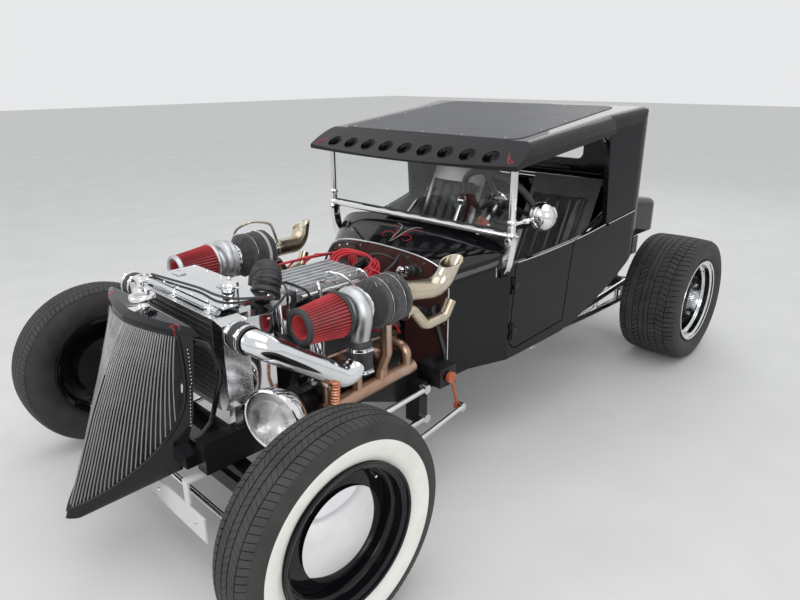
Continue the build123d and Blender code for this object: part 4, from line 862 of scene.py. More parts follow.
def quilted(side):
    """A stuffed jacket: puckered at its ends, drawn in at its two ties and creased between them."""
    def shape(a, r, angle):
        if r < 0.03:
            return r
        tied = sum(0.0052 * 2.718 ** (-((a - tie) / 0.0075) ** 2) for tie in BLANKET_TIES)
        edge = max(0.0, abs(2 * a / 0.152 - 1) - 0.72) / 0.28
        place = Vector((a * 30, cos(angle) * 2.6, sin(angle) * 2.6 + 7 * side))
        creases = 0.0042 * (noise.noise(place) - 0.35) + 0.0022 * noise.noise(place * 2.7)
        pucker = 0.0028 * edge * sin(17 * angle + 2.2 * noise.noise(place * 0.7))
        return r - tied + creases + pucker
    return shape


for (hand, side), (_, z) in zip(SIDES, TURBO_ROWS):
    blanket = Piece(f"blanket_{hand}", "chassis", blanket_cloth, chrome, strap_web,
                    slot="blanket", replaces=("turbo_blankets",), sharp=70)
    x = side * TURBO_X
    steps = 34
    profile = [(0.004, 0)]
    for n in range(steps + 1):
        share = n / steps
        end = max(0.0, abs(2 * share - 1) - 0.70) / 0.30
        profile.append((0.0015 + 0.149 * share, 0.0868 - 0.036 * end ** 2.4))
    profile.append((0.148, 0))
    blanket.turn(profile, at(x, 0.448, z), (0, 1, 0), 0, 132, quilted(side))
    for tie in BLANKET_TIES:
        ring = [at(x + 0.0826 * cos(n * pi / 24), 0.4495 + tie, z + 0.0826 * sin(n * pi / 24))
                for n in range(48)]
        blanket.tube(ring, 0.0009, 1, 6, soft=False, loop=True)
    lace = []
    for n in range(17):
        lean = radians((64 if side > 0 else 116) + (7 if n % 2 else -7))
        lace.append(at(x + 0.0878 * cos(lean), 0.456 + 0.0086 * n, z + 0.0878 * sin(lean)))
    blanket.tube(lace, 0.0008, 1, 6, soft=False)
    if side < 0:
        blanket.turn(collar(-0.006, 0.006, 0.0832, 0.0852), at(x, 0.4495 + BLANKET_TIES[1], z),
                     (0, 1, 0), 2, 72)
    blanket.done()

stacks = Piece("stack_flanges", "chassis", stack_steel, chrome, slot="exhaust_steel")
for side, z in TURBO_ROWS:
    x = side * TURBO_X
    for y, rise, reach in ((0.6035, 0.004, 0.0035), (0.631, 0.0009, 0.0018)):
        stacks.turn([(-reach, 0.0355), (-reach, 0.0360 + rise), (0, 0.0365 + rise), (reach, 0.0360 + rise),
                     (reach, 0.0355)], at(x, y, z), (0, 1, 0), 0, 64)
    band_clamp(stacks, at(x, 0.616, z), (0, 1, 0), 0.0362, 1, 0.010, (side * 0.5, 0, 0.8))
    stacks.turn(collar(0, 0.006, 0.0195, 0.029), at(x + side * 0.020, 0.6015, z - 0.062), (0, 1, 0), 0, 40)
    low, high = Vector((x + side * 0.032, 0.778, z - 0.012)), Vector((x + side * 0.070, 0.840, 0.882))
    run = (high - low).normalized()
    mouth, face = Vector((x + side * 0.062, 0.826, 0.812)), Vector((side * 0.12, -0.32, 0.94))
    one = run.orthogonal().normalized()
    two = run.cross(one)
    lip_ring = []
    for n in range(64):
        spot = low + (one * cos(n * pi / 32) + two * sin(n * pi / 32)) * 0.0350
        spot += run * ((mouth - spot).dot(face) / run.dot(face))
        lip_ring.append(at(*spot))
    stacks.tube(lip_ring, 0.0019, 0, 8, soft=False, loop=True)
stacks.tube(route((-0.436, 0.470, 0.790), (-0.421, 0.480, 0.838), (-0.362, 0.492, 0.872),
                  (-0.350, 0.530, 0.876), (-0.345, 0.590, 0.858), (-0.340, 0.608, 0.815),
                  (-0.345, 0.622, 0.774)), 0.0052, 0, 14, 0.006)
stacks.done()

# Charge pipes: couplers, hoses and clamps
couplers = Piece("charge_hoses", "chassis", hose_black, polished, slot="black_plastic")
for side, z in TURBO_ROWS:
    out = side * (TURBO_X + 0.040)
    couplers.turn([(0, 0.0384), (0, 0.0412), (0.002, 0.0422), (0.072, 0.0422), (0.074, 0.0412),
                   (0.074, 0.0384)], at(side * 0.300, 0.020, 0.735), (side, 0, 0), 0, 64)
    for reach in (0.013, 0.061):
        band_clamp(couplers, at(side * (0.300 + reach), 0.020, 0.735), (side, 0, 0), 0.0422, 1, 0.012,
                   (0, -0.7, 0.7))
    couplers.turn([(-0.004, 0.0418), (0, 0.0434), (0.004, 0.0418)],
                  at(side * 0.336, 0.020, 0.735), (side, 0, 0), 0, 64)
    couplers.turn([(0, 0.0378), (0, 0.0402), (0.003, 0.0414), (0.094, 0.0414), (0.097, 0.0402),
                   (0.097, 0.0378)], at(out, 0.384, z - 0.101), (0, 0, -1), 0, 64)
    couplers.turn([(0, 0.0302), (0, 0.0345), (0.006, 0.0395), (0.014, 0.0402), (0.014, 0.0300)],
                  at(out, 0.384, z - 0.088), (0, 0, -1), 0, 64)
    for drop in (0.112, 0.186):
        band_clamp(couplers, at(out, 0.384, z - drop), (0, 0, 1), 0.0414, 1, 0.012, (side, 0, 0))
couplers.done()

# Cooler, radiator cover and the pipes on it
fins("cooler_fins", at(0, -0.0205, 0.5035), (0, 0, 0.00936), 28, (0.476, 0.002, 0.0038), core_metal)
fins("cooler_louvres", at(-0.232, -0.0188, 0.630), (0.0116, 0, 0), 41, (0.0012, 0.0022, 0.262), core_metal)
cooler_top = Piece("cooler_top", "chassis", polished, chrome, hose_black, slot="aluminium")
cooler_top.tube(route((-0.236, 0.006, 0.7885), (0.236, 0.006, 0.7885)), 0.0088, 0, 20, soft=False)
for x in (-0.205, -0.02, 0.19):
    cooler_top.box(at(x - 0.014, -0.012, 0.7762), at(x + 0.014, 0.017, 0.7815), 0, 0.0015)
    cooler_top.turn(collar(-0.009, 0.009, 0.0085, 0.0125), at(x, 0.006, 0.7885), (1, 0, 0), 1, 28)
    cooler_top.turn([(0, 0), (0, 0.0036), (0.018, 0.0036), (0.0185, 0.002), (0.0185, 0)],
                    at(x, 0.006, 0.7935), (0, 0, 1), 1, 12)
cooler_top.tube(route((-0.225, 0.030, 0.7985), (-0.10, 0.045, 0.801), (0.03, 0.062, 0.8015),
                      (0.14, 0.060, 0.804), (0.20, 0.085, 0.801), (0.235, 0.150, 0.796)), 0.0042, 2, 10)
for side in (-1, 1):
    cooler_top.plate([at(side * 0.2935, y, z) for y, z in (
        (0.062, 0.772), (0.150, 0.762), (0.150, 0.492), (0.062, 0.486))], (-side, 0, 0), 0.003, 0, 0.0006)
    cooler_top.box(at(side * 0.2945, 0.060, 0.486), at(side * 0.236, 0.064, 0.772), 0, 0.0008)
for x, y, size in ((-0.178, 0.102, 0.026), (0.06, 0.128, 0.022)):
    cooler_top.box(at(x - size, y - size * 0.6, 0.7945), at(x + size, y + size * 0.6, 0.7985), 0, 0.0012)
cooler_top.done()
fasteners("cover_rivets", [(at(-0.225 + 0.090 * n, y, 0.7942), (0, 0, 1)) for n in range(6)
                           for y in (0.030, 0.186)]
          + [(at(side * 0.2952, y, z), (side, 0, 0)) for side in (-1, 1) for y in (0.074, 0.138)
             for z in (0.51, 0.60, 0.69, 0.748)], 0.0034, 0.0022, chrome, sides=14)


def fluted(count, depth, span, least):
    """A turned cap's finger grips: hollows sunk over a span of its height, where it is wide enough."""
    def shape(a, r, angle):
        sunk = depth * (0.5 + 0.5 * cos(count * angle))
        return r - sunk if span[0] < a < span[1] and r > least else r
    return shape


cap = Piece("filler_cap", "chassis", chrome, slot="chrome")
cap.turn([(0, 0), (0, 0.0268), (0.004, 0.0285), (0.012, 0.0285), (0.015, 0.026), (0.018, 0.0255),
          (0.022, 0.016), (0.023, 0)], at(0.150, 0.100, 0.8200), (0, 0, 1), 0, 48,
         fluted(12, 0.0018, (0.003, 0.013), 0.02))
for turn_by in (0.4, 0.4 + pi):
    corner = at(0.150, 0.100, 0.8245) + Matrix.Rotation(turn_by, 3, "Z") @ Vector((0.026, -0.007, 0))
    cap.box(corner, corner + Vector((0.014, 0.014, 0.0035)), 0, 0.0012)
cap.turn([(0, 0), (0, 0.0062), (0.010, 0.0062), (0.013, 0.0045), (0.013, 0)], at(0.150, 0.100, 0.8425),
         (0, 0, 1), 0, 20)
cap.done()

# Engine top and what stands on it
CYLINDERS_Y = [0.415 + 0.080 * n for n in range(4)]
engine_top = Piece("engine_top", "chassis", cast_alloy, polished, moulded_black, slot="aluminium")
for side in (-1, 1):
    engine_top.tube(route((side * 0.130, 0.378, 0.712), (side * 0.130, 0.696, 0.712)), 0.0085, 1, 16,
                    soft=False)
    low, high = Vector((side * 0.233, 0, 0.617)), Vector((side * 0.134, 0, 0.667))
    slope, lift = (high - low).normalized(), Vector((side * 0.45, 0, 0.893)).normalized()
    for y0, y1 in ((0.262, 0.480), (0.488, 0.706)):
        corners = [base + slope * along + lift * up for base, along, up in (
            (low, -0.004, 0), (low, -0.004, 0.020), (low, 0.010, 0.034),
            (high, -0.012, 0.034), (high, 0.002, 0.018), (high, 0.002, 0))]
        engine_top.plate([at(c.x, y0, c.z) for c in corners], (0, 1, 0), y1 - y0, 0, 0.0025)
        for k in range(5):
            seat = low + slope * (0.018 + 0.0165 * k) + lift * 0.034
            engine_top.box(at(seat.x, y0 + 0.012, seat.z) - lift * 0.002 - slope * 0.002,
                           at(seat.x, y1 - 0.012, seat.z) + lift * 0.003 + slope * 0.002, 0, 0.0008)
    for y in CYLINDERS_Y:
        lean = (-side * 0.34, 0, -1)
        engine_top.turn([(0, 0), (0, 0.0075), (0.010, 0.0085), (0.013, 0.0115), (0.028, 0.0115),
                         (0.032, 0.0085), (0.040, 0.0075), (0.044, 0.006), (0.044, 0)],
                        at(side * 0.130, y, 0.707), lean, 2, 20)
        engine_top.box(at(side * 0.134, y - 0.009, 0.690), at(side * 0.152, y + 0.009, 0.702), 2, 0.002)
        engine_top.turn([(0, 0), (0, 0.0125), (0.004, 0.014), (0.030, 0.0125), (0.034, 0.009), (0.034, 0)],
                        at(side * 0.205, y, 0.668), (side * 0.45, 0, 0.893), 2, 20)
engine_top.turn([(0, 0), (0, 0.050), (0.006, 0.052), (0.010, 0.046), (0.050, 0.046), (0.055, 0.050),
                 (0.060, 0.050), (0.060, 0)], at(0.020, 0.371, 0.712), (0, -1, 0), 0, 48)
engine_top.turn([(0, 0), (0, 0.030), (0.125, 0.030), (0.127, 0.029), (0.127, 0)], at(0.168, 0.266, 0.606),
                (0, 0, 1), 1, 40)
engine_top.box(at(0.132, 0.262, 0.640), at(0.205, 0.290, 0.652), 1, 0.002)
engine_top.tube(route((0.300, 0.296, 0.640), (0.300, 0.296, 0.575), (0.296, 0.290, 0.505),
                      (0.262, 0.280, 0.470)), 0.0325, 1, 32)
engine_top.tube(route((-0.262, 0.190, 0.60), (-0.268, 0.250, 0.66), (-0.245, 0.330, 0.70)), 0.0150, 1, 20)
engine_top.done()
fasteners("plenum_bolts", [(at(side * 0.1055, y, 0.7322), (0, 0, 1)) for side in (-1, 1)
                           for y in (0.378, 0.440, 0.500, 0.560, 0.620, 0.692)], 0.0042, 0.005, chrome)

tank_cap = Piece("white_cap", "chassis", tank_white, slot="plate_white")
tank_cap.turn([(0, 0), (0, 0.0325), (0.003, 0.0345), (0.014, 0.0345), (0.018, 0.032), (0.020, 0.020),
               (0.020, 0)], at(0.168, 0.266, 0.733), (0, 0, 1), 0, 60,
              fluted(30, 0.0010, (0.002, 0.015), 0.03))
tank_cap.done()

elbow = Piece("intake_elbow", "chassis", hose_black, cast_alloy, slot="black_plastic")
elbow.tube(route((0.020, 0.312, 0.714), (0.030, 0.290, 0.742), (0.060, 0.278, 0.790), (0.108, 0.262, 0.822),
                 (0.150, 0.236, 0.812), (0.166, 0.214, 0.780)), 0.0465, 0, 40, 0.003, ribs=(0.0105, 0.0055))
elbow.turn([(0, 0.034), (0, 0.0475), (0.004, 0.049), (0.012, 0.049), (0.014, 0.047), (0.014, 0.0335)],
           at(0.1655, 0.2165, 0.782), (0.42, -0.58, -0.70), 0, 56)
elbow.turn([(0, 0), (0, 0.034), (0.008, 0.034), (0.010, 0.030), (0.005, 0.018), (0.007, 0)],
           at(0.1675, 0.2125, 0.779), (0.42, -0.58, -0.70), 1, 48)
elbow.done()

wiring = Piece("ignition_leads", "chassis", wire_red, hose_black, chrome, slot="black_plastic", sharp=60)
for n, y in enumerate(CYLINDERS_Y):
    for side in (-1, 1):
        spread = 0.010 * n
        wiring.tube(route((side * 0.220, y, 0.702),
                          (side * (0.222 - spread), y + 0.040, 0.722 + spread * 0.5),
                          (side * (0.170 - spread), 0.690, 0.736 + spread * 0.5),
                          (side * (0.110 - spread), 0.760 + spread * 0.5, 0.745 + spread * 0.4),
                          (side * (0.050 + 0.3 * spread), 0.792 - spread, 0.735),
                          (side * (0.036 + spread), 0.770, 0.705)), 0.0040, 0, 10)
for x, y, lift in ((0.115, 0.705, 0.024), (0.10, 0.70, 0.034), (0.085, 0.70, 0.044)):
    wiring.tube(route((x, y, 0.722), (x + 0.02, y + 0.035, 0.742 + lift * 0.3),
                      (x - 0.05, y + 0.065, 0.742 + lift * 0.6), (x - 0.15, y + 0.050, 0.746 + lift * 0.6),
                      (x - 0.19, y + 0.02, 0.736 + lift * 0.3), (x - 0.18, y - 0.010, 0.722)), 0.0052, 0, 12)
for path in (((0.15, 0.70, 0.70), (0.19, 0.76, 0.76), (0.16, 0.84, 0.775), (0.19, 0.897, 0.70)),
             ((-0.02, 0.71, 0.70), (0.06, 0.78, 0.77), (0.13, 0.83, 0.752), (0.10, 0.897, 0.69)),
             ((-0.15, 0.70, 0.70), (-0.17, 0.78, 0.77), (-0.12, 0.85, 0.765), (-0.16, 0.897, 0.68)),
             ((0.235, 0.30, 0.585), (0.262, 0.36, 0.640), (0.250, 0.50, 0.662), (0.236, 0.68, 0.640),
              (0.260, 0.80, 0.600), (0.275, 0.897, 0.560)),
             ((0.155, 0.40, 0.705), (0.180, 0.36, 0.755), (0.120, 0.33, 0.775), (0.060, 0.355, 0.752)),
             ((0.240, 0.152, 0.735), (0.262, 0.200, 0.775), (0.215, 0.262, 0.775), (0.195, 0.272, 0.720))):
    wiring.tube(route(*path), 0.0045, 1, 10)
for path in (((0.240, 0.45, 0.575), (0.300, 0.47, 0.602), (0.330, 0.56, 0.600), (0.290, 0.66, 0.580),
              (0.262, 0.720, 0.52)),
             ((-0.240, 0.45, 0.575), (-0.300, 0.47, 0.602), (-0.330, 0.56, 0.600), (-0.290, 0.66, 0.580))):
    wiring.tube(route(*path), 0.0052, 0, 10)
wiring.tube(route((0.152, 0.52, 0.735), (0.162, 0.44, 0.762), (0.205, 0.395, 0.770), (0.222, 0.40, 0.715)),
            0.0068, 2, 14)
for n in range(2):
    wiring.tube(route((0.09 + 0.06 * n, 0.52 + 0.1 * n, 0.744), (0.12 + 0.05 * n, 0.50 + 0.1 * n, 0.772),
                      (0.17 + 0.02 * n, 0.53 + 0.08 * n, 0.765), (0.205, 0.56 + 0.07 * n, 0.722)),
                0.0055, 2, 12)
wiring.done()

ducting = Piece("copper_duct", "chassis", copper_tube, slot="exhaust_steel")
ducting.tube(route((0.436, 0.262, 0.545), (0.440, 0.256, 0.490), (0.436, 0.258, 0.430),
                   (0.400, 0.270, 0.385), (0.345, 0.290, 0.372)), 0.0165, 0, 24, 0.0025, ribs=(0.009, 0.0035))
ducting.done()

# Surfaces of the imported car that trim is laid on
def surface_of(node):
    """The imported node's surface, for laying trim on it."""
    data = nodes[node].data
    return BVHTree.FromPolygons([v.co for v in data.vertices], [tuple(f.vertices) for f in data.polygons])


def laid_down(surface, x, y, proud=0.0):
    """The place on a surface below a drawn point, lifted a little."""
    above_the_car = 2.0
    hit = surface.ray_cast(at(x, y, above_the_car), Vector((0, 0, -1)))[0]
    return hit + Vector((0, 0, proud)) if hit else None


def laid_from(surface, x, y, z, way, proud=0.0):
    """The place on a surface that a ray from a drawn point meets, lifted a little."""
    way = Vector(way).normalized()
    hit = surface.ray_cast(at(x, y, z), way)[0]
    return hit - way * proud if hit else None


def through_three(a, b, c, count):
    """Points of the round arc through three flat places."""
    ax, ay, bx, by, cx, cy = *a, *b, *c
    d = 2 * (ax * (by - cy) + bx * (cy - ay) + cx * (ay - by))
    squares = ax ** 2 + ay ** 2, bx ** 2 + by ** 2, cx ** 2 + cy ** 2
    ux = (squares[0] * (by - cy) + squares[1] * (cy - ay) + squares[2] * (ay - by)) / d
    uy = (squares[0] * (cx - bx) + squares[1] * (ax - cx) + squares[2] * (bx - ax)) / d
    r = sqrt((ax - ux) ** 2 + (ay - uy) ** 2)
    start, end = atan2(ay - uy, ax - ux), atan2(cy - uy, cx - ux)
    if abs(end - start) > pi:
        end -= 2 * pi if end > start else -2 * pi
    angles = [start + (end - start) * n / count for n in range(count + 1)]
    return [(ux + r * cos(angle), uy + r * sin(angle)) for angle in angles]


shell, tub, roof_skin = (surface_of(node_name) for node_name in ("grille_shell", "body_tub", "roof"))

# Grille shell: rolled lip, drilled strip, ornament
lip_line = through_three((-0.2305, 0.7500), (-0.2090, 0.458), (0.0, 0.2185), 40)
lip_line += [(-x, z) for x, z in reversed(lip_line[:-1])]
lip = Piece("grille_lip", "chassis", body_black, slot="body_paint")
path = []
for x, z in lip_line:
    place = laid_from(shell, x * 1.012, -1.0, z, (0, 1, 0), 0.0006)
    if place:
        path.append(place)
lip.tube(path, 0.0042, 0, 12, soft=False)
lip.done()
edge = []
for n in range(33):
    z = 0.715 - 0.0115 * n
    y = -0.1085 if z > 0.60 else -0.112 - 0.055 * (0.60 - z)
    place = laid_from(shell, 0.6, y, z, (-1, 0, 0), 0.0003)
    if place and place.x > 0.15:
        edge += [(place, (1, 0, 0)), (Vector((-place.x, place.y, place.z)), (-1, 0, 0))]
fasteners("shell_edge_studs", edge, 0.0023, 0.0014, polished, sides=10)

# The shell's level sections: height, how far forward its nose stands, half width, and its rear edge
SHELL_ROWS = ((0.195, -0.428, 0.030, -0.395), (0.330, -0.372, 0.215, -0.150),
              (0.500, -0.302, 0.246, -0.112), (0.640, -0.234, 0.264, -0.104), (0.757, -0.168, 0.278, -0.098))
SHELL_TOP = SHELL_ROWS[-1][0]
BAR_PITCH, BAR_TOP, BAR_SPANS = 0.0090, 0.7535, 14


def shell_y(x, z):
    """How far forward the grille's curved face stands at a place."""
    low, high = next(pair for pair in zip(SHELL_ROWS, SHELL_ROWS[1:]) if z <= pair[1][0])
    share = (z - low[0]) / (high[0] - low[0])
    nose, half, rear = (low[n] + (high[n] - low[n]) * share for n in (1, 2, 3))
    arc = through_three((0.0, nose), (half * 0.62, nose + 0.42 * (rear - nose)), (half, rear), 24)
    for (x0, y0), (x1, y1) in zip(arc, arc[1:]):
        if abs(x) <= x1:
            return y0 + (y1 - y0) * (abs(x) - x0) / (x1 - x0)
    return rear


def bar_foot(x):
    """Height at which the grille's opening starts, at a distance from its middle."""
    for (x0, z0), (x1, z1) in zip(opening, opening[1:]):
        if x1 <= abs(x) <= x0:
            return z1 + (z0 - z1) * (abs(x) - x1) / max(x0 - x1, 1e-6)
    return 0.60


grille = Piece("grille_strips", "chassis", bar_metal, moulded_black, slot="bar_metal",
               replaces=("grille_bars",), sharp=60)
opening = [(-x, z) for x, z in lip_line[:41]]
for n in range(-24, 25):
    x = BAR_PITCH * n
    foot = bar_foot(x)
    path = []
    for k in range(BAR_SPANS + 1):
        z = foot + 0.001 + (BAR_TOP - foot) * k / BAR_SPANS
        sway = 0.0016 * sin(z * 26 + 0.2 * n) * max(0.0, (z - 0.45) / 0.3)
        path.append(at(x + sway, shell_y(x, min(z, SHELL_TOP)) + 0.0055, z))
    grille.tube(path, 0.0033, 0, 6, soft=False)
    blade = [p + Vector((across, back, 0)) for p in path
             for across, back in ((-0.0021, 0.001), (0.0021, 0.001), (0.0021, 0.021), (-0.0021, 0.021))]
    walls = [(k + m, k + (m + 1) % 4, k + 4 + (m + 1) % 4, k + 4 + m)
             for k in range(0, 4 * BAR_SPANS, 4) for m in range(4)]
    grille.add(blade, walls + [(0, 1, 2, 3), tuple(4 * BAR_SPANS + m for m in range(4))], 1)
grille.done()

ornament = Piece("grille_ornament", "chassis", chrome, slot="chrome")
ornament.turn([(0, 0), (0, 0.0170), (0.004, 0.0185), (0.009, 0.0150), (0.018, 0.0145), (0.0225, 0.030),
               (0.0245, 0.0370), (0.028, 0.0385), (0.036, 0.0385), (0.039, 0.0365), (0.041, 0.026),
               (0.050, 0.0245), (0.056, 0.0245), (0.060, 0.020), (0.064, 0.0115), (0.078, 0.0098),
               (0.083, 0.0125), (0.088, 0.0125), (0.092, 0.009), (0.094, 0)], at(0, -0.106, 0.7752),
              (0, 0, 1), 0, 72)
ornament.plate([at(x, -0.106 + back, 0.858) for x, back in (
    (-0.034, -0.007), (-0.020, -0.013), (0.020, -0.013), (0.034, -0.007),
    (0.034, 0.007), (0.020, 0.013), (-0.020, 0.013), (-0.034, 0.007))], (0, 0, 1), 0.008, 0, 0.0025)
ornament.done()
plate_rim = Piece("plate_rim", "chassis", plate_white, chrome, slot="plate_white")
plate_rim.tube([at(x, -0.1905, z) for x, z in (
    (0.064, 0.194), (0.396, 0.194), (0.396, 0.271), (0.064, 0.271))], 0.0016, 0, 8, soft=False, loop=True)
for x in (0.120, 0.340):
    plate_rim.turn([(0, 0), (0, 0.0065), (0.001, 0.0075), (0.003, 0.0070), (0.0045, 0.0045), (0.0045, 0)],
                   at(x, -0.1900, 0.2325), (0, -1, 0), 1, 20)
plate_rim.done()

# Headlamps: shell, reflector, lens and rim
# Lamp sections from the rim's plane to the rear: distance along and radius
LAMP_RIM = [(-0.004, 0.0900), (-0.0055, 0.0930), (-0.003, 0.0965), (0.004, 0.0975), (0.016, 0.0972),
            (0.021, 0.0955), (0.022, 0.0930), (0.010, 0.0912), (0.0, 0.0892)]
LAMP_SHELL = [(0.018, 0.0925), (0.032, 0.0915), (0.050, 0.0850), (0.070, 0.0710), (0.088, 0.0540),
              (0.099, 0.0370), (0.104, 0.020), (0.105, 0), (0.103, 0), (0.102, 0.019), (0.097, 0.0355),
              (0.086, 0.052), (0.0685, 0.069), (0.049, 0.083), (0.0315, 0.0893), (0.018, 0.0905)]
LAMP_REFLECTOR = [(0.003, 0.0885), (0.018, 0.0800), (0.034, 0.0660), (0.047, 0.0480), (0.055, 0.0300),
                  (0.059, 0.012), (0.0595, 0), (0.0612, 0), (0.0607, 0.0125), (0.0568, 0.031),
                  (0.0487, 0.0490), (0.0356, 0.0672), (0.0195, 0.0812), (0.005, 0.0893)]
LAMP_BULB = [(0.020, 0), (0.020, 0.0075), (0.024, 0.0095), (0.040, 0.0095), (0.058, 0.0115), (0.059, 0)]
LAMP_LENS = [(-0.0165, 0.0), (-0.0158, 0.018), (-0.0135, 0.038), (-0.0098, 0.058), (-0.0045, 0.076),
             (0.0005, 0.0865), (0.0030, 0.0890), (0.0045, 0.0880), (0.0025, 0.0850), (-0.0022, 0.0745),
             (-0.0072, 0.0570), (-0.0107, 0.037), (-0.0129, 0.018), (-0.0136, 0.0)]
LAMP_PLUG = [(0.100, 0), (0.100, 0.014), (0.108, 0.014), (0.112, 0.009), (0.112, 0)]
LAMP_TURNED_OUT = radians(18)
for name, side in SIDES:
    back = Vector((-side * sin(LAMP_TURNED_OUT), cos(LAMP_TURNED_OUT), 0))
    front = at(side * 0.432, 0.030, 0.503)
    headlamp = Piece(f"headlamp_{name}", "chassis", chrome, lamp_silver, lamp_clear, body_black,
                     slot="chrome", replaces=("headlamps",))
    for section, finish, segments in ((LAMP_RIM, 0, 96), (LAMP_SHELL, 0, 96), (LAMP_REFLECTOR, 1, 96),
                                      (LAMP_BULB, 0, 28), (LAMP_LENS, 2, 96), (LAMP_PLUG, 3, 24)):
        headlamp.turn(section, front, back, finish, segments)
    headlamp.tube(route((side * 0.3255, 0.095, 0.420), (side * 0.385, 0.095, 0.420),
                        (side * 0.402, 0.095, 0.432), (side * 0.402, 0.095, 0.455)),
                  0.0100, 3, 20, soft=False)
    headlamp.turn(collar(0, 0.012, 0, 0.018), at(side * 0.3255, 0.095, 0.420), (side, 0, 0), 3, 6)
    headlamp.turn([(0, 0), (0, 0.017), (0.010, 0.0165), (0.016, 0.013), (0.016, 0)],
                  at(side * 0.402, 0.095, 0.440), (0, 0, 1), 0, 6)
    headlamp.done()

# Firewall, cowl, windscreen and mirror
arch = [(0.345, 0.665), (0.3364, 0.7035), (0.3105, 0.7313), (0.2622, 0.7517), (0.1725, 0.7656), (0.0, 0.772)]
arch += [(-x, z) for x, z in reversed(arch[:-1])]
bead = Piece("firewall_bead", "chassis", polished, slot="aluminium")
leg = [(0.3455, 0.335), (0.3460, 0.50), (0.3462, 0.62)]
bead_line = leg + [(x * 1.003, z + 0.0008) for x, z in arch] + [(-x, z) for x, z in reversed(leg)]
bead.tube([at(x, 0.8982, z) for x, z in bead_line], 0.0036, 0, 12, 0.01)
bead.done()
arch_bolts = []
for n in range(13):
    share = n / 12 * (len(arch) - 1)
    k = min(int(share), len(arch) - 2)
    x = arch[k][0] + (arch[k + 1][0] - arch[k][0]) * (share - k)
    z = arch[k][1] + (arch[k + 1][1] - arch[k][1]) * (share - k)
    arch_bolts.append((at(x * 0.955, 0.8998, z - 0.016), (0, -1, 0)))
arch_bolts += [(at(side * 0.330, 0.8998, z), (0, -1, 0)) for side in (-1, 1) for z in (0.60, 0.52, 0.44)]
fasteners("firewall_bolts", arch_bolts, 0.0050, 0.0045, chrome)
regulators = Piece("firewall_fittings", "chassis", chrome, moulded_black, slot="chrome")
for x, z, finish in ((0.13, 0.700, 0), (0.19, 0.716, 1), (-0.11, 0.690, 1)):
    regulators.turn([(0, 0), (0, 0.022), (0.004, 0.023), (0.010, 0.016), (0.026, 0.016), (0.030, 0.019),
                     (0.040, 0.019), (0.043, 0.010), (0.055, 0.0085), (0.057, 0.004), (0.057, 0)],
                    at(x, 0.8996, z - 0.01), (0, -1, 0.25), finish, 32)
regulators.box(at(-0.26, 0.862, 0.560), at(-0.13, 0.8995, 0.668), 1, 0.006)
regulators.box(at(0.235, 0.868, 0.500), at(0.318, 0.8995, 0.560), 1, 0.005)
regulators.done()

stanchions = Piece("screen_stanchions", "chassis", chrome, slot="chrome")
for side in (-1, 1):
    x = side * 0.500
    for z, high in ((0.846, 0.030), (0.905, 0.018)):
        stanchions.turn([(0, 0.0130), (0, 0.0175), (0.002, 0.0190), (high - 0.002, 0.0190), (high, 0.0175),
                         (high, 0.0130)], at(x, 1.066, z), (0, 0, 1), 0, 40)
    stanchions.tube(route((x, 1.066, 0.880), (x, 1.066, 0.900)), 0.0155, 0, 32, soft=False)
    stanchions.turn([(-0.020, 0), (-0.020, 0.0070), (-0.015, 0.0085), (0.015, 0.0085), (0.020, 0.0070),
                     (0.020, 0)], at(x + side * 0.013, 1.066, 0.861), (0, 1, 0), 0, 6)
    stanchions.turn([(-0.006, 0), (-0.006, 0.0110), (0.0, 0.0150), (0.006, 0.0110), (0.006, 0)],
                    at(x, 1.045, 0.846), (0, 1, 0), 0, 28)
stanchions.turn([(0, 0.0), (0.001, 0.018), (0.007, 0.0345), (0.016, 0.0450), (0.027, 0.0508), (0.035, 0.0525),
                 (0.041, 0.0525), (0.043, 0.0510), (0.043, 0)], at(0.5782, 1.0880, 0.942), (0.25, 1, 0),
                0, 96)
stanchions.tube(route((0.515, 1.073, 0.912), (0.545, 1.091, 0.925), (0.560, 1.098, 0.932),
                      (0.575, 1.106, 0.938)), 0.0068, 0, 20)
stanchions.turn([(-0.010, 0), (-0.010, 0.010), (-0.005, 0.0125), (0.005, 0.0125), (0.010, 0.010), (0.010, 0)],
                at(0.545, 1.091, 0.925), (0.88, 0.45, 0.2), 0, 28)
stanchions.done()
mirror_face = Piece("mirror_face", "chassis", mirror_silver, slot="chrome")
mirror_face.turn([(0, 0), (0, 0.0485), (0.001, 0.0492), (0.0022, 0.0485), (0.0022, 0)],
                 at(0.5845, 1.1402, 0.942), (-0.25, 1, 0), 0, 72)
mirror_face.done()

bars = Piece("screen_rails", "chassis", chrome, moulded_black, slot="chrome")
bars.tube(route((-0.497, 1.066, 0.8640), (0.497, 1.066, 0.8640)), 0.0150, 0, 28, soft=False)
bars.tube(route((-0.484, 1.0625, 0.881), (0.484, 1.0625, 0.881)), 0.0028, 1, 10, soft=False)
for side in (-1, 1):
    bars.tube(route((side * 0.4845, 1.0625, 0.881), (side * 0.4845, 1.0625, 1.098)), 0.0028, 1, 10,
              soft=False)
bars.done()


def belt_z(y):
    """Height of the body's waist line: it sweeps up along the door and runs straight behind it."""
    cowl_y, pillar_y = 1.10, 1.655
    if y < pillar_y:
        t = (y - cowl_y) / (pillar_y - cowl_y)
        return 0.745 + 0.0300 * t + 0.047 * t * t
    return 0.822 + (y - pillar_y) * 0.19


def sill_place(side, y):
    """A place on the bright strip along the top of the body's side."""
    return at(side * (0.4845 + 0.138 * (y - 1.10) / 0.86), y, belt_z(y) + 0.0012)


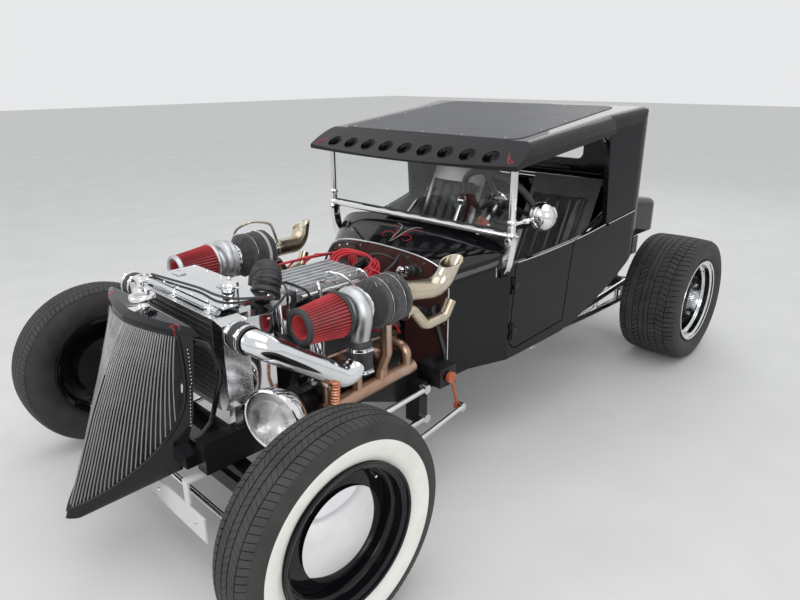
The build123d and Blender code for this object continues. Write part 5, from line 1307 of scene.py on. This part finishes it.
belt = Piece("belt_moulding", "chassis", body_black, polished, slot="body_paint")
for side in (-1, 1):
    run = []
    for n in range(40):
        y = 1.665 + 0.0045 * n
        place = laid_from(tub, side * 1.2, y, belt_z(y) - 0.004, (-side, 0, 0), 0.0)
        if place:
            run.append(place)
    belt.tube(run, 0.0075, 0, 12, soft=False)
    belt.tube([p + Vector((side * 0.0055, 0, 0.0052)) for p in run], 0.0016, 1, 8, soft=False)
    belt.tube([sill_place(side, 1.470 + 0.0055 * n) for n in range(34)], 0.0026, 1, 8, soft=False)
belt.done()
for name, side in SIDES:
    trim = Piece(f"door_{name}_sill", f"door_{name}", polished, slot="body_paint")
    trim.tube([sill_place(side, y) for y in (1.135, 1.19, 1.25, 1.31, 1.37, 1.43, 1.455)], 0.0026, 0, 8)
    trim.done()

# A plain scroll of two colours on the cowl, the grille cap and the visor, of the builder's own drawing:
# for each of those, how low it lies at least, the step along a line, the brush's width and its lines
SCROLLS = (
    (tub, 0.0, 0.005, 0.0009, (
        (0, ((0.004, 0.960), (0.030, 0.985), (0.062, 0.990), (0.080, 0.972), (0.066, 0.955), (0.044, 0.962))),
        (0, ((0.004, 0.945), (0.018, 0.975), (0.034, 1.010), (0.060, 1.032), (0.098, 1.030))),
        (1, ((0.002, 0.930), (0.010, 0.965), (0.016, 1.005), (0.034, 1.040), (0.072, 1.052))))),
    (shell, 0.7, 0.004, 0.0010, (
        (0, ((0.196, -0.128), (0.205, -0.112), (0.222, -0.108), (0.236, -0.116))),
        (0, ((0.190, -0.120), (0.208, -0.120), (0.228, -0.124))))),
    (roof_skin, 1.05, 0.004, 0.0010, (
        (0, ((0.492, 1.035), (0.506, 1.010), (0.524, 0.996), (0.532, 1.012))),
        (0, ((0.486, 1.050), (0.500, 1.026), (0.516, 1.012), (0.540, 0.998))))))
scroll = Piece("cowl_scroll", "chassis", pinstripe_red, pinstripe_pale, slot="body_paint")
for surface, lowest, step, brush, lines in SCROLLS:
    for side in (-1, 1):
        for finish, line in lines:
            flat = smooth_path([Vector((*spot, 0)) for spot in line], step)
            path = [laid_down(surface, side * p.x, p.y, 0.0002) for p in flat]
            scroll.tube([p for p in path if p and p.z > lowest], lambda t: 0.0004 + brush * sin(pi * t),
                        finish, 8, soft=False)
scroll.done()

# Roof insert with its bead and screws
INSERT_FRONT, INSERT_REAR, INSERT_CORNER = 1.113, 1.862, 0.055
INSERT_FRONT_HALF, INSERT_REAR_HALF = 0.470, 0.460


def insert_place(u, v, proud, grow=0.0):
    """A place on the roof insert, u to the rear and v to the left, its corners rounded."""
    front, rear, corner = INSERT_FRONT - grow, INSERT_REAR + grow, INSERT_CORNER
    y = front + (rear - front) * u
    half = INSERT_FRONT_HALF + (INSERT_REAR_HALF - INSERT_FRONT_HALF) * u + grow
    x = half * v
    for centre, way in ((front + corner, -1), (rear - corner, 1)):
        dy, dx = (y - centre) * way, abs(x) - (half - corner)
        reach = sqrt(dy * dy + dx * dx)
        if dy > 0 and dx > 0 and reach > corner:
            y = centre + (y - centre) * corner / reach
            x = (half - corner + dx * corner / reach) * (1 if x > 0 else -1)
    return laid_down(roof_skin, x, y, proud)


insert = Piece("roof_insert", "chassis", roof_satin, slot="roof_black", sharp=50)
rows, columns = 36, 40
wide = columns + 1
top = [insert_place(n / rows, -1 + 2 * m / columns, 0.0024) for n in range(rows + 1) for m in range(wide)]
low = [p - Vector((0, 0, 0.0040)) for p in top]
faces = [(a, a + 1, a + wide + 1, a + wide) for n in range(rows) for a in range(n * wide, n * wide + columns)]
skirt = list(range(wide)) + [n * wide + columns for n in range(1, rows + 1)]
skirt += [rows * wide + m for m in range(columns - 1, -1, -1)] + [n * wide for n in range(rows - 1, 0, -1)]
size = len(top)
walls = [(a, b, b + size, a + size) for a, b in zip(skirt, skirt[1:] + skirt[:1])]
insert.add(top + low, faces + [tuple(size + k for k in reversed(f)) for f in faces] + walls, 0)
insert.done()
rim_line = []
for n in range(160):
    share = n / 40
    u, v = ((0, -1 + 2 * share), (share - 1, 1), (1, 1 - 2 * (share - 2)), (4 - share, -1))[int(share)]
    place = insert_place(u, v, -0.0006, 0.0025)
    if not rim_line or (place - rim_line[-1]).length > 0.004:
        rim_line.append(place)
roof_bead = Piece("roof_bead", "chassis", hose_black, slot="black_plastic")
roof_bead.tube(rim_line, 0.0028, 0, 10, soft=False, loop=True)
roof_bead.done()
fasteners("roof_screws", [(insert_place(u, v, 0.0022, -0.016), (0, 0, 1)) for u, v in (
    (0, -0.9), (0, -0.45), (0, 0), (0, 0.45), (0, 0.9), (0.5, 0.985), (0.5, -0.985), (0.25, 0.985),
    (0.25, -0.985), (0.75, 0.985), (0.75, -0.985), (0.985, -0.5), (0.985, 0), (0.985, 0.5))],
          0.0042, 0.0018, chrome, sides=14)

# The visor's row of holes: their pitch, the radius of their rims, and where they lie on its slope
HOLE_PITCH, HOLE_RIM = 0.1065, 0.0345
HOLES_Y, SLOPE_LOW_Y, SLOPE_HIGH_Y = 1.020, 0.992, 1.046
hole_rims = Piece("visor_hole_rims", "chassis", body_black, slot="body_paint")
low_edge, high_edge = (laid_down(roof_skin, HOLE_PITCH / 2, y) for y in (SLOPE_LOW_Y, SLOPE_HIGH_Y))
up_slope = (high_edge - low_edge).normalized()
row_middle = low_edge + (high_edge - low_edge) * (HOLES_Y - SLOPE_LOW_Y) / (SLOPE_HIGH_Y - SLOPE_LOW_Y)
for n in range(-4, 5):
    middle = Vector((HOLE_PITCH * n, row_middle.y, row_middle.z))
    across = Vector((HOLE_RIM, 0, 0))
    hole_rims.tube([middle + across * cos(k * pi / 20) + up_slope * HOLE_RIM * sin(k * pi / 20)
                    for k in range(40)], 0.0016, 0, 8, soft=False, loop=True)
hole_rims.done()

# Cab: hoop, seats, wheel and small gear
hoop = Piece("roll_hoop", "chassis", polished, chrome, slot="polished_tube")
half = [(0.530, 1.840, 0.640), (0.530, 1.840, 0.900), (0.505, 1.828, 1.080), (0.430, 1.812, 1.168),
        (0.300, 1.806, 1.184)]
hoop.tube(route(*half, *((-x, y, z) for x, y, z in reversed(half))), 0.0190, 0, 24, 0.02)
hoop.tube(route((-0.530, 1.838, 0.960), (0.530, 1.838, 0.960)), 0.0160, 0, 20, soft=False)
for side in (-1, 1):
    hoop.tube(route((side * 0.430, 1.190, 0.560), (side * 0.480, 1.500, 0.700), (side * 0.528, 1.835, 0.900)),
              0.0160, 0, 20, 0.03)
    hoop.turn(collar(-0.012, 0.012, 0.0190, 0.0215), at(side * 0.530, 1.840, 0.700), (0, 0, 1), 1, 28)
hoop.tube(route((-0.250, 1.836, 0.960), (-0.520, 1.836, 0.700)), 0.0140, 0, 18, soft=False)
hoop.done()

dash = Piece("dash_panel", "chassis", engine_dark, chrome, plate_white, moulded_black,
             slot="engine_black", sharp=40)
dash.plate(route((-0.430, 1.108, 0.722), (0.430, 1.108, 0.722), (0.430, 1.112, 0.800), (0.330, 1.112, 0.818),
                 (-0.330, 1.112, 0.818), (-0.430, 1.112, 0.800)), (0, 1, 0), 0.004, 0, 0.0008)
for x, r in ((-0.24, 0.030), (-0.16, 0.030), (-0.08, 0.030), (0.06, 0.042), (0.385, 0.026)):
    dash.turn([(0, 0), (0, r), (0.004, r), (0.008, r * 0.96), (0.009, r * 0.88), (0.005, r * 0.86),
               (0.005, 0)], at(x, 1.115, 0.768), (0, 1, 0), 1, 40)
    dash.turn(collar(0, 0.0012, 0, r * 0.84), at(x, 1.1196, 0.768), (0, 1, 0), 3, 36)
    for n in range(9):
        lean = radians(-130 + 32 * n)
        low, high = (at(x + r * k * sin(lean), 1.1212, 0.768 + r * k * cos(lean)) for k in (0.62, 0.80))
        dash.tube([low, high], 0.0008, 2, 5, soft=False)
    dash.tube(route((x, 1.1216, 0.768), (x + r * 0.55, 1.1216, 0.768 + r * 0.45)), 0.0010, 2, 6, soft=False)
dash.done()

wheel_axis = Vector((0, 0.784, 0.621)).normalized()
drop = Piece("column_drop", "chassis", copper_paint, chrome, slot="arm_copper")
drop.turn(collar(-0.016, 0.016, 0.020, 0.0265), at(0.265, 1.200, 0.8525), wheel_axis, 0, 40)
drop.box(at(0.252, 1.112, 0.832), at(0.278, 1.190, 0.846), 0, 0.003)
drop.turn(collar(-0.018, 0.018, 0, 0.006), at(0.291, 1.200, 0.8525), (1, 0, 0), 1, 6)
drop.done()

wheel_flat = wheel_axis.cross(Vector((1, 0, 0))).normalized()
wheel_mid = at(0.265, 1.308, 0.938)


def wheel_place(angle, reach, lift=0.0):
    """A place on the steering wheel, or lifted from it along its axis."""
    spoke = Vector((cos(angle), 0, 0)) + wheel_flat * sin(angle)
    return wheel_mid + spoke * reach + wheel_axis * lift


grip = Piece("wheel_grip", "steering_wheel", seat_leather, chrome, brushed, slot="black_plastic", sharp=60)
grip.tube([wheel_place(n * pi / 90, 0.160) for n in range(180)],
          lambda t: 0.0141 - (0.0005 if int(t * 180) % 6 == 0 else 0), 0, 18, soft=False, loop=True)
grip.turn([(0, 0), (0, 0.036), (0.004, 0.038), (0.010, 0.034), (0.016, 0.021), (0.018, 0)],
          wheel_place(0, 0, 0.002), wheel_axis, 1, 48)
for n in range(6):
    grip.turn(collar(0, 0.004, 0, 0.0036), wheel_place(n * pi / 3 + 0.3, 0.030, 0.009), wheel_axis, 2, 8)
grip.done()

SEAT_X = 0.306
rods = Piece("seat_box_rods", "chassis", chrome, slot="chrome")
for side in (-1, 1):
    rods.tube(route((side * 0.300, 1.236, 0.462), (side * 0.300, 1.236, 0.400)), 0.0100, 0, 16, soft=False)
    for x in (side * SEAT_X - 0.120, side * SEAT_X + 0.120):
        rods.tube(route((x, 1.230, 0.4550), (x, 1.500, 0.4550)), 0.0085, 0, 14, soft=False)
rods.done()


def pad(name, middle, size, tilt, channels):
    """A stuffed pad: a rounded block swelled by the cloth solver, then drawn in along its sewn channels."""
    block = bmesh.new()
    bmesh.ops.create_cube(block, size=1.0)
    bmesh.ops.scale(block, vec=size, verts=block.verts)
    bmesh.ops.bevel(block, geom=block.edges[:], offset=0.012, segments=3, affect="EDGES", profile=0.5)
    data = bpy.data.meshes.new(name)
    block.to_mesh(data)
    block.free()
    held = bpy.data.objects.new(name + "_held", data)
    bpy.context.scene.collection.objects.link(held)
    remesh = held.modifiers.new("even", "REMESH")
    remesh.mode, remesh.voxel_size = "VOXEL", 0.006
    most_swell, sewn_depth, sewn_width, last_step = 0.014, 0.0095, 0.0065, 20

    def settled():
        """The pad's mesh as its modifiers leave it."""
        bpy.context.view_layer.update()
        return bpy.data.meshes.new_from_object(held.evaluated_get(bpy.context.evaluated_depsgraph_get()))

    held.data = settled()
    held.modifiers.clear()
    rest = [v.co.copy() for v in held.data.vertices]
    cloth = held.modifiers.new("swell", "CLOTH")
    cloth.settings.use_pressure = True
    cloth.settings.uniform_pressure_force = 4.0
    cloth.settings.effector_weights.gravity = 0.0
    cloth.settings.quality = 5
    cloth.point_cache.frame_end = last_step
    for step in range(1, last_step + 1):
        bpy.context.scene.frame_set(step)
    swollen = settled()
    held.modifiers.clear()
    held.data = swollen
    bpy.context.scene.frame_set(1)
    for vertex, was in zip(held.data.vertices, rest):
        move = vertex.co - was
        if move.length > most_swell:
            move *= most_swell / move.length
        if was.z < 0:
            move.z = max(move.z, -0.0004)
        sewn = sum(2.718 ** (-((was.x - line) / sewn_width) ** 2) for line in channels)
        rim = max(abs(2 * was.x / size[0]), abs(2 * was.y / size[1]))
        if was.z > 0:
            move.z -= sewn_depth * sewn * max(0.0, 1 - rim ** 6)
        vertex.co = was + move
    finer = held.modifiers.new("smooth", "SUBSURF")
    finer.levels = finer.render_levels = 1
    result = settled()
    bpy.data.objects.remove(held)
    result.name = name
    result.transform(Matrix.Translation(at(*middle)) @ Matrix.Rotation(tilt, 4, "X"))
    result.materials.clear()
    result.materials.append(seat_leather)
    return finished(name, result, "chassis", "seat_leather", ("seat_pads",), 70)


# The seat back's lean, its foot, and how far its pad's middle lies up it and in front of it
BACK_TILT, BACK_FOOT_Y, BACK_FOOT_Z, PAD_UP, PAD_FORWARD = radians(63.6), 1.524, 0.470, 0.285, 0.024
SEWN_LINES = (-0.087, -0.029, 0.029, 0.087)
for name, side in SIDES:
    pad(f"seat_cushion_{name}", (side * SEAT_X, 1.345, 0.4935), (0.276, 0.238, 0.038), 0.0, SEWN_LINES)
    pad(f"seat_back_{name}", (side * SEAT_X,
                              BACK_FOOT_Y + PAD_UP * cos(BACK_TILT) - PAD_FORWARD * sin(BACK_TILT),
                              BACK_FOOT_Z + PAD_UP * sin(BACK_TILT) + PAD_FORWARD * cos(BACK_TILT)),
        (0.276, 0.404, 0.034), BACK_TILT, SEWN_LINES)

# Wheels: rim steps, valve, and the rear wheels' nuts and caps
RIM_HALF = {"front": 0.070, "rear": 0.136}
VALVE_ANGLE, NUT_CIRCLE, REAR_DISC_OUT = 0.9, 0.0765, -0.010


def around(out, reach, angle):
    """A step from a wheel's middle: outboard along X, and out from its axle at an angle."""
    return Vector((out, reach * cos(angle), reach * sin(angle)))


for end, hand, side in [(end, hand, side) for end in RIM_HALF for hand, side in SIDES]:
    half, centre, out = RIM_HALF[end], wheel_middle(end, side), (side, 0, 0)
    steps = Piece(f"rim_steps_{end}_{hand}", f"wheel_{end}_{hand}",
                  wheel_black if end == "front" else polished, chrome, slot="wheel_black")
    steps.turn([(half - 0.003, 0.2010), (half - 0.003, 0.2080), (half + 0.0004, 0.2092),
                (half + 0.0022, 0.2080), (half + 0.0022, 0.2040), (half + 0.0004, 0.2012)],
               centre, out, 0, 144)
    steps.turn(collar(half - 0.0165, half - 0.0125, 0.1868, 0.1885), centre, out, 0, 144)
    for step_out, step_r in ((half - 0.040, 0.1857), (half - 0.047, 0.1745)):
        steps.turn([(step_out - 0.003, step_r + 0.002), (step_out - 0.003, step_r - 0.0005),
                    (step_out, step_r - 0.0018), (step_out + 0.003, step_r - 0.0005),
                    (step_out + 0.003, step_r + 0.002)], centre, out, 0, 144)
    steps.tube([centre + around(side * (half - 0.046), 0.170, VALVE_ANGLE),
                centre + around(side * (half - 0.022), 0.164, VALVE_ANGLE)], 0.0040, 1, 14, soft=False)
    if end == "rear":
        for n in range(5):
            steps.turn([(-0.001, 0), (-0.001, 0.0125), (0.010, 0.0108), (0.022, 0.0095), (0.026, 0.006),
                        (0.027, 0)], centre + around(side * REAR_DISC_OUT, NUT_CIRCLE, 2 * pi * n / 5 + 0.3),
                       out, 1, 6)
        steps.turn([(-0.001, 0), (-0.001, 0.0600), (0.004, 0.0605), (0.012, 0.0540), (0.030, 0.0500),
                    (0.040, 0.0400), (0.044, 0.0200), (0.045, 0)],
                   centre + around(side * REAR_DISC_OUT, 0, 0), out, 1, 64)
    steps.done()

# Rear springs and tail lamps. The piece of that name holds the springs' coils alone
COIL_RADIUS, COIL_RISE = 0.034, 0.00105
springs = Piece("rod_ends", "chassis", chrome, slot="chrome")
for side in (-1, 1):
    springs.tube([at(side * 0.205 + COIL_RADIUS * cos(n * pi / 9), 2.535 + COIL_RADIUS * sin(n * pi / 9),
                     0.318 + COIL_RISE * n) for n in range(146)], 0.0058, 0, 10, soft=False)
springs.done()

tails = Piece("tail_lamps", "chassis", chrome, signal_red, slot="chrome")
for side in (-1, 1):
    seat = at(side * 0.365, 2.3452, 0.765)
    tails.turn([(0, 0), (0, 0.0400), (0.006, 0.0425), (0.014, 0.0405), (0.016, 0.0365), (0.010, 0.0345),
                (0.004, 0)], seat, (0, 1, 0), 0, 56)
    tails.turn([(0.0045, 0), (0.0105, 0.0335), (0.0150, 0.0325), (0.021, 0.022), (0.024, 0.010), (0.0245, 0)],
               seat, (0, 1, 0), 1, 56)
tails.done()

# View, light and floor
def camera():
    """The photograph's view."""
    yaw, pitch, roll = 0.775, -0.3435, -0.0051
    ahead = Vector((-sin(yaw) * cos(pitch), cos(yaw) * cos(pitch), sin(pitch)))
    right = Vector((cos(yaw), sin(yaw), 0))
    up = right.cross(ahead)
    right, up = cos(roll) * right + sin(roll) * up, -sin(roll) * right + cos(roll) * up
    lens = bpy.data.cameras.new("view")
    lens.sensor_width = 36.0
    lens.lens = 28.52
    lens.clip_end = 60
    held = bpy.data.objects.new("view", lens)
    turn = Matrix((right, up, -ahead)).transposed().to_4x4()
    held.matrix_world = Matrix.Translation(at(1.7939, -0.8406, 1.4295)) @ turn
    bpy.context.scene.collection.objects.link(held)
    bpy.context.scene.camera = held


def lamp(name, place, aim, size, power):
    """A soft rectangular studio lamp turned to its aim."""
    data = bpy.data.lights.new(name, "AREA")
    data.shape = "RECTANGLE"
    data.size, data.size_y = size
    data.energy = power
    held = bpy.data.objects.new(name, data)
    held.location = place
    held.rotation_euler = (Vector(aim) - Vector(place)).to_track_quat("-Z", "Y").to_euler()
    bpy.context.scene.collection.objects.link(held)


def studio():
    """A pale floor and a plain pale surround, a little brighter to the eye, to mirrors and through glass."""
    ground = bpy.data.meshes.new("studio_floor")
    reach = 30.0
    ground.from_pydata([(-reach, -reach, 0), (reach, -reach, 0), (reach, reach, 0), (-reach, reach, 0)], [],
                       [(0, 1, 2, 3)])
    floor = bpy.data.objects.new("studio_floor", ground)
    bpy.context.scene.collection.objects.link(floor)
    made = Finish("studio_floor_finish", (0.74, 0.735, 0.72), 0.9)
    made.mottle(3.0, 0.03)
    ground.materials.append(made.material)
    world = bpy.data.worlds.new("studio")
    bpy.context.scene.world = world
    world.use_nodes = True
    tree = world.node_tree
    sky = tree.nodes["Background"]
    sky.inputs["Color"].default_value = (0.90, 0.92, 0.95, 1)
    sky.inputs["Strength"].default_value = 0.78
    seen = chain(tree, "ShaderNodeBackground", [("Color", (0.80, 0.81, 0.82, 1)), ("Strength", 1.0)])
    rays = tree.nodes.new("ShaderNodeLightPath")
    either = chain(tree, "ShaderNodeMath", [(0, rays.outputs["Is Camera Ray"]),
                                            (1, rays.outputs["Is Transmission Ray"])], operation="MAXIMUM")
    any_sight = chain(tree, "ShaderNodeMath", [(0, either.outputs[0]), (1, rays.outputs["Is Glossy Ray"])],
                      operation="MAXIMUM")
    choose = chain(tree, "ShaderNodeMixShader", [("Fac", any_sight.outputs[0]), (1, sky.outputs[0]),
                                                 (2, seen.outputs[0])])
    tree.links.new(choose.outputs[0], tree.nodes["World Output"].inputs["Surface"])


camera()
studio()
lamp("overhead", (0.5, -0.5, 4.6), (0, 0, 0.4), (4.5, 4.5), 55)
lamp("left_soft", (4.2, -3.2, 2.6), (0, -0.2, 0.5), (3.0, 2.2), 60)
lamp("front_soft", (-1.8, -5.0, 2.4), (0, -0.6, 0.5), (2.6, 2.0), 34)
lamp("rear_soft", (-1.0, 5.2, 3.6), (0, 0.6, 0.6), (3.5, 2.5), 24)
bpy.context.scene.view_settings.view_transform = "Standard"
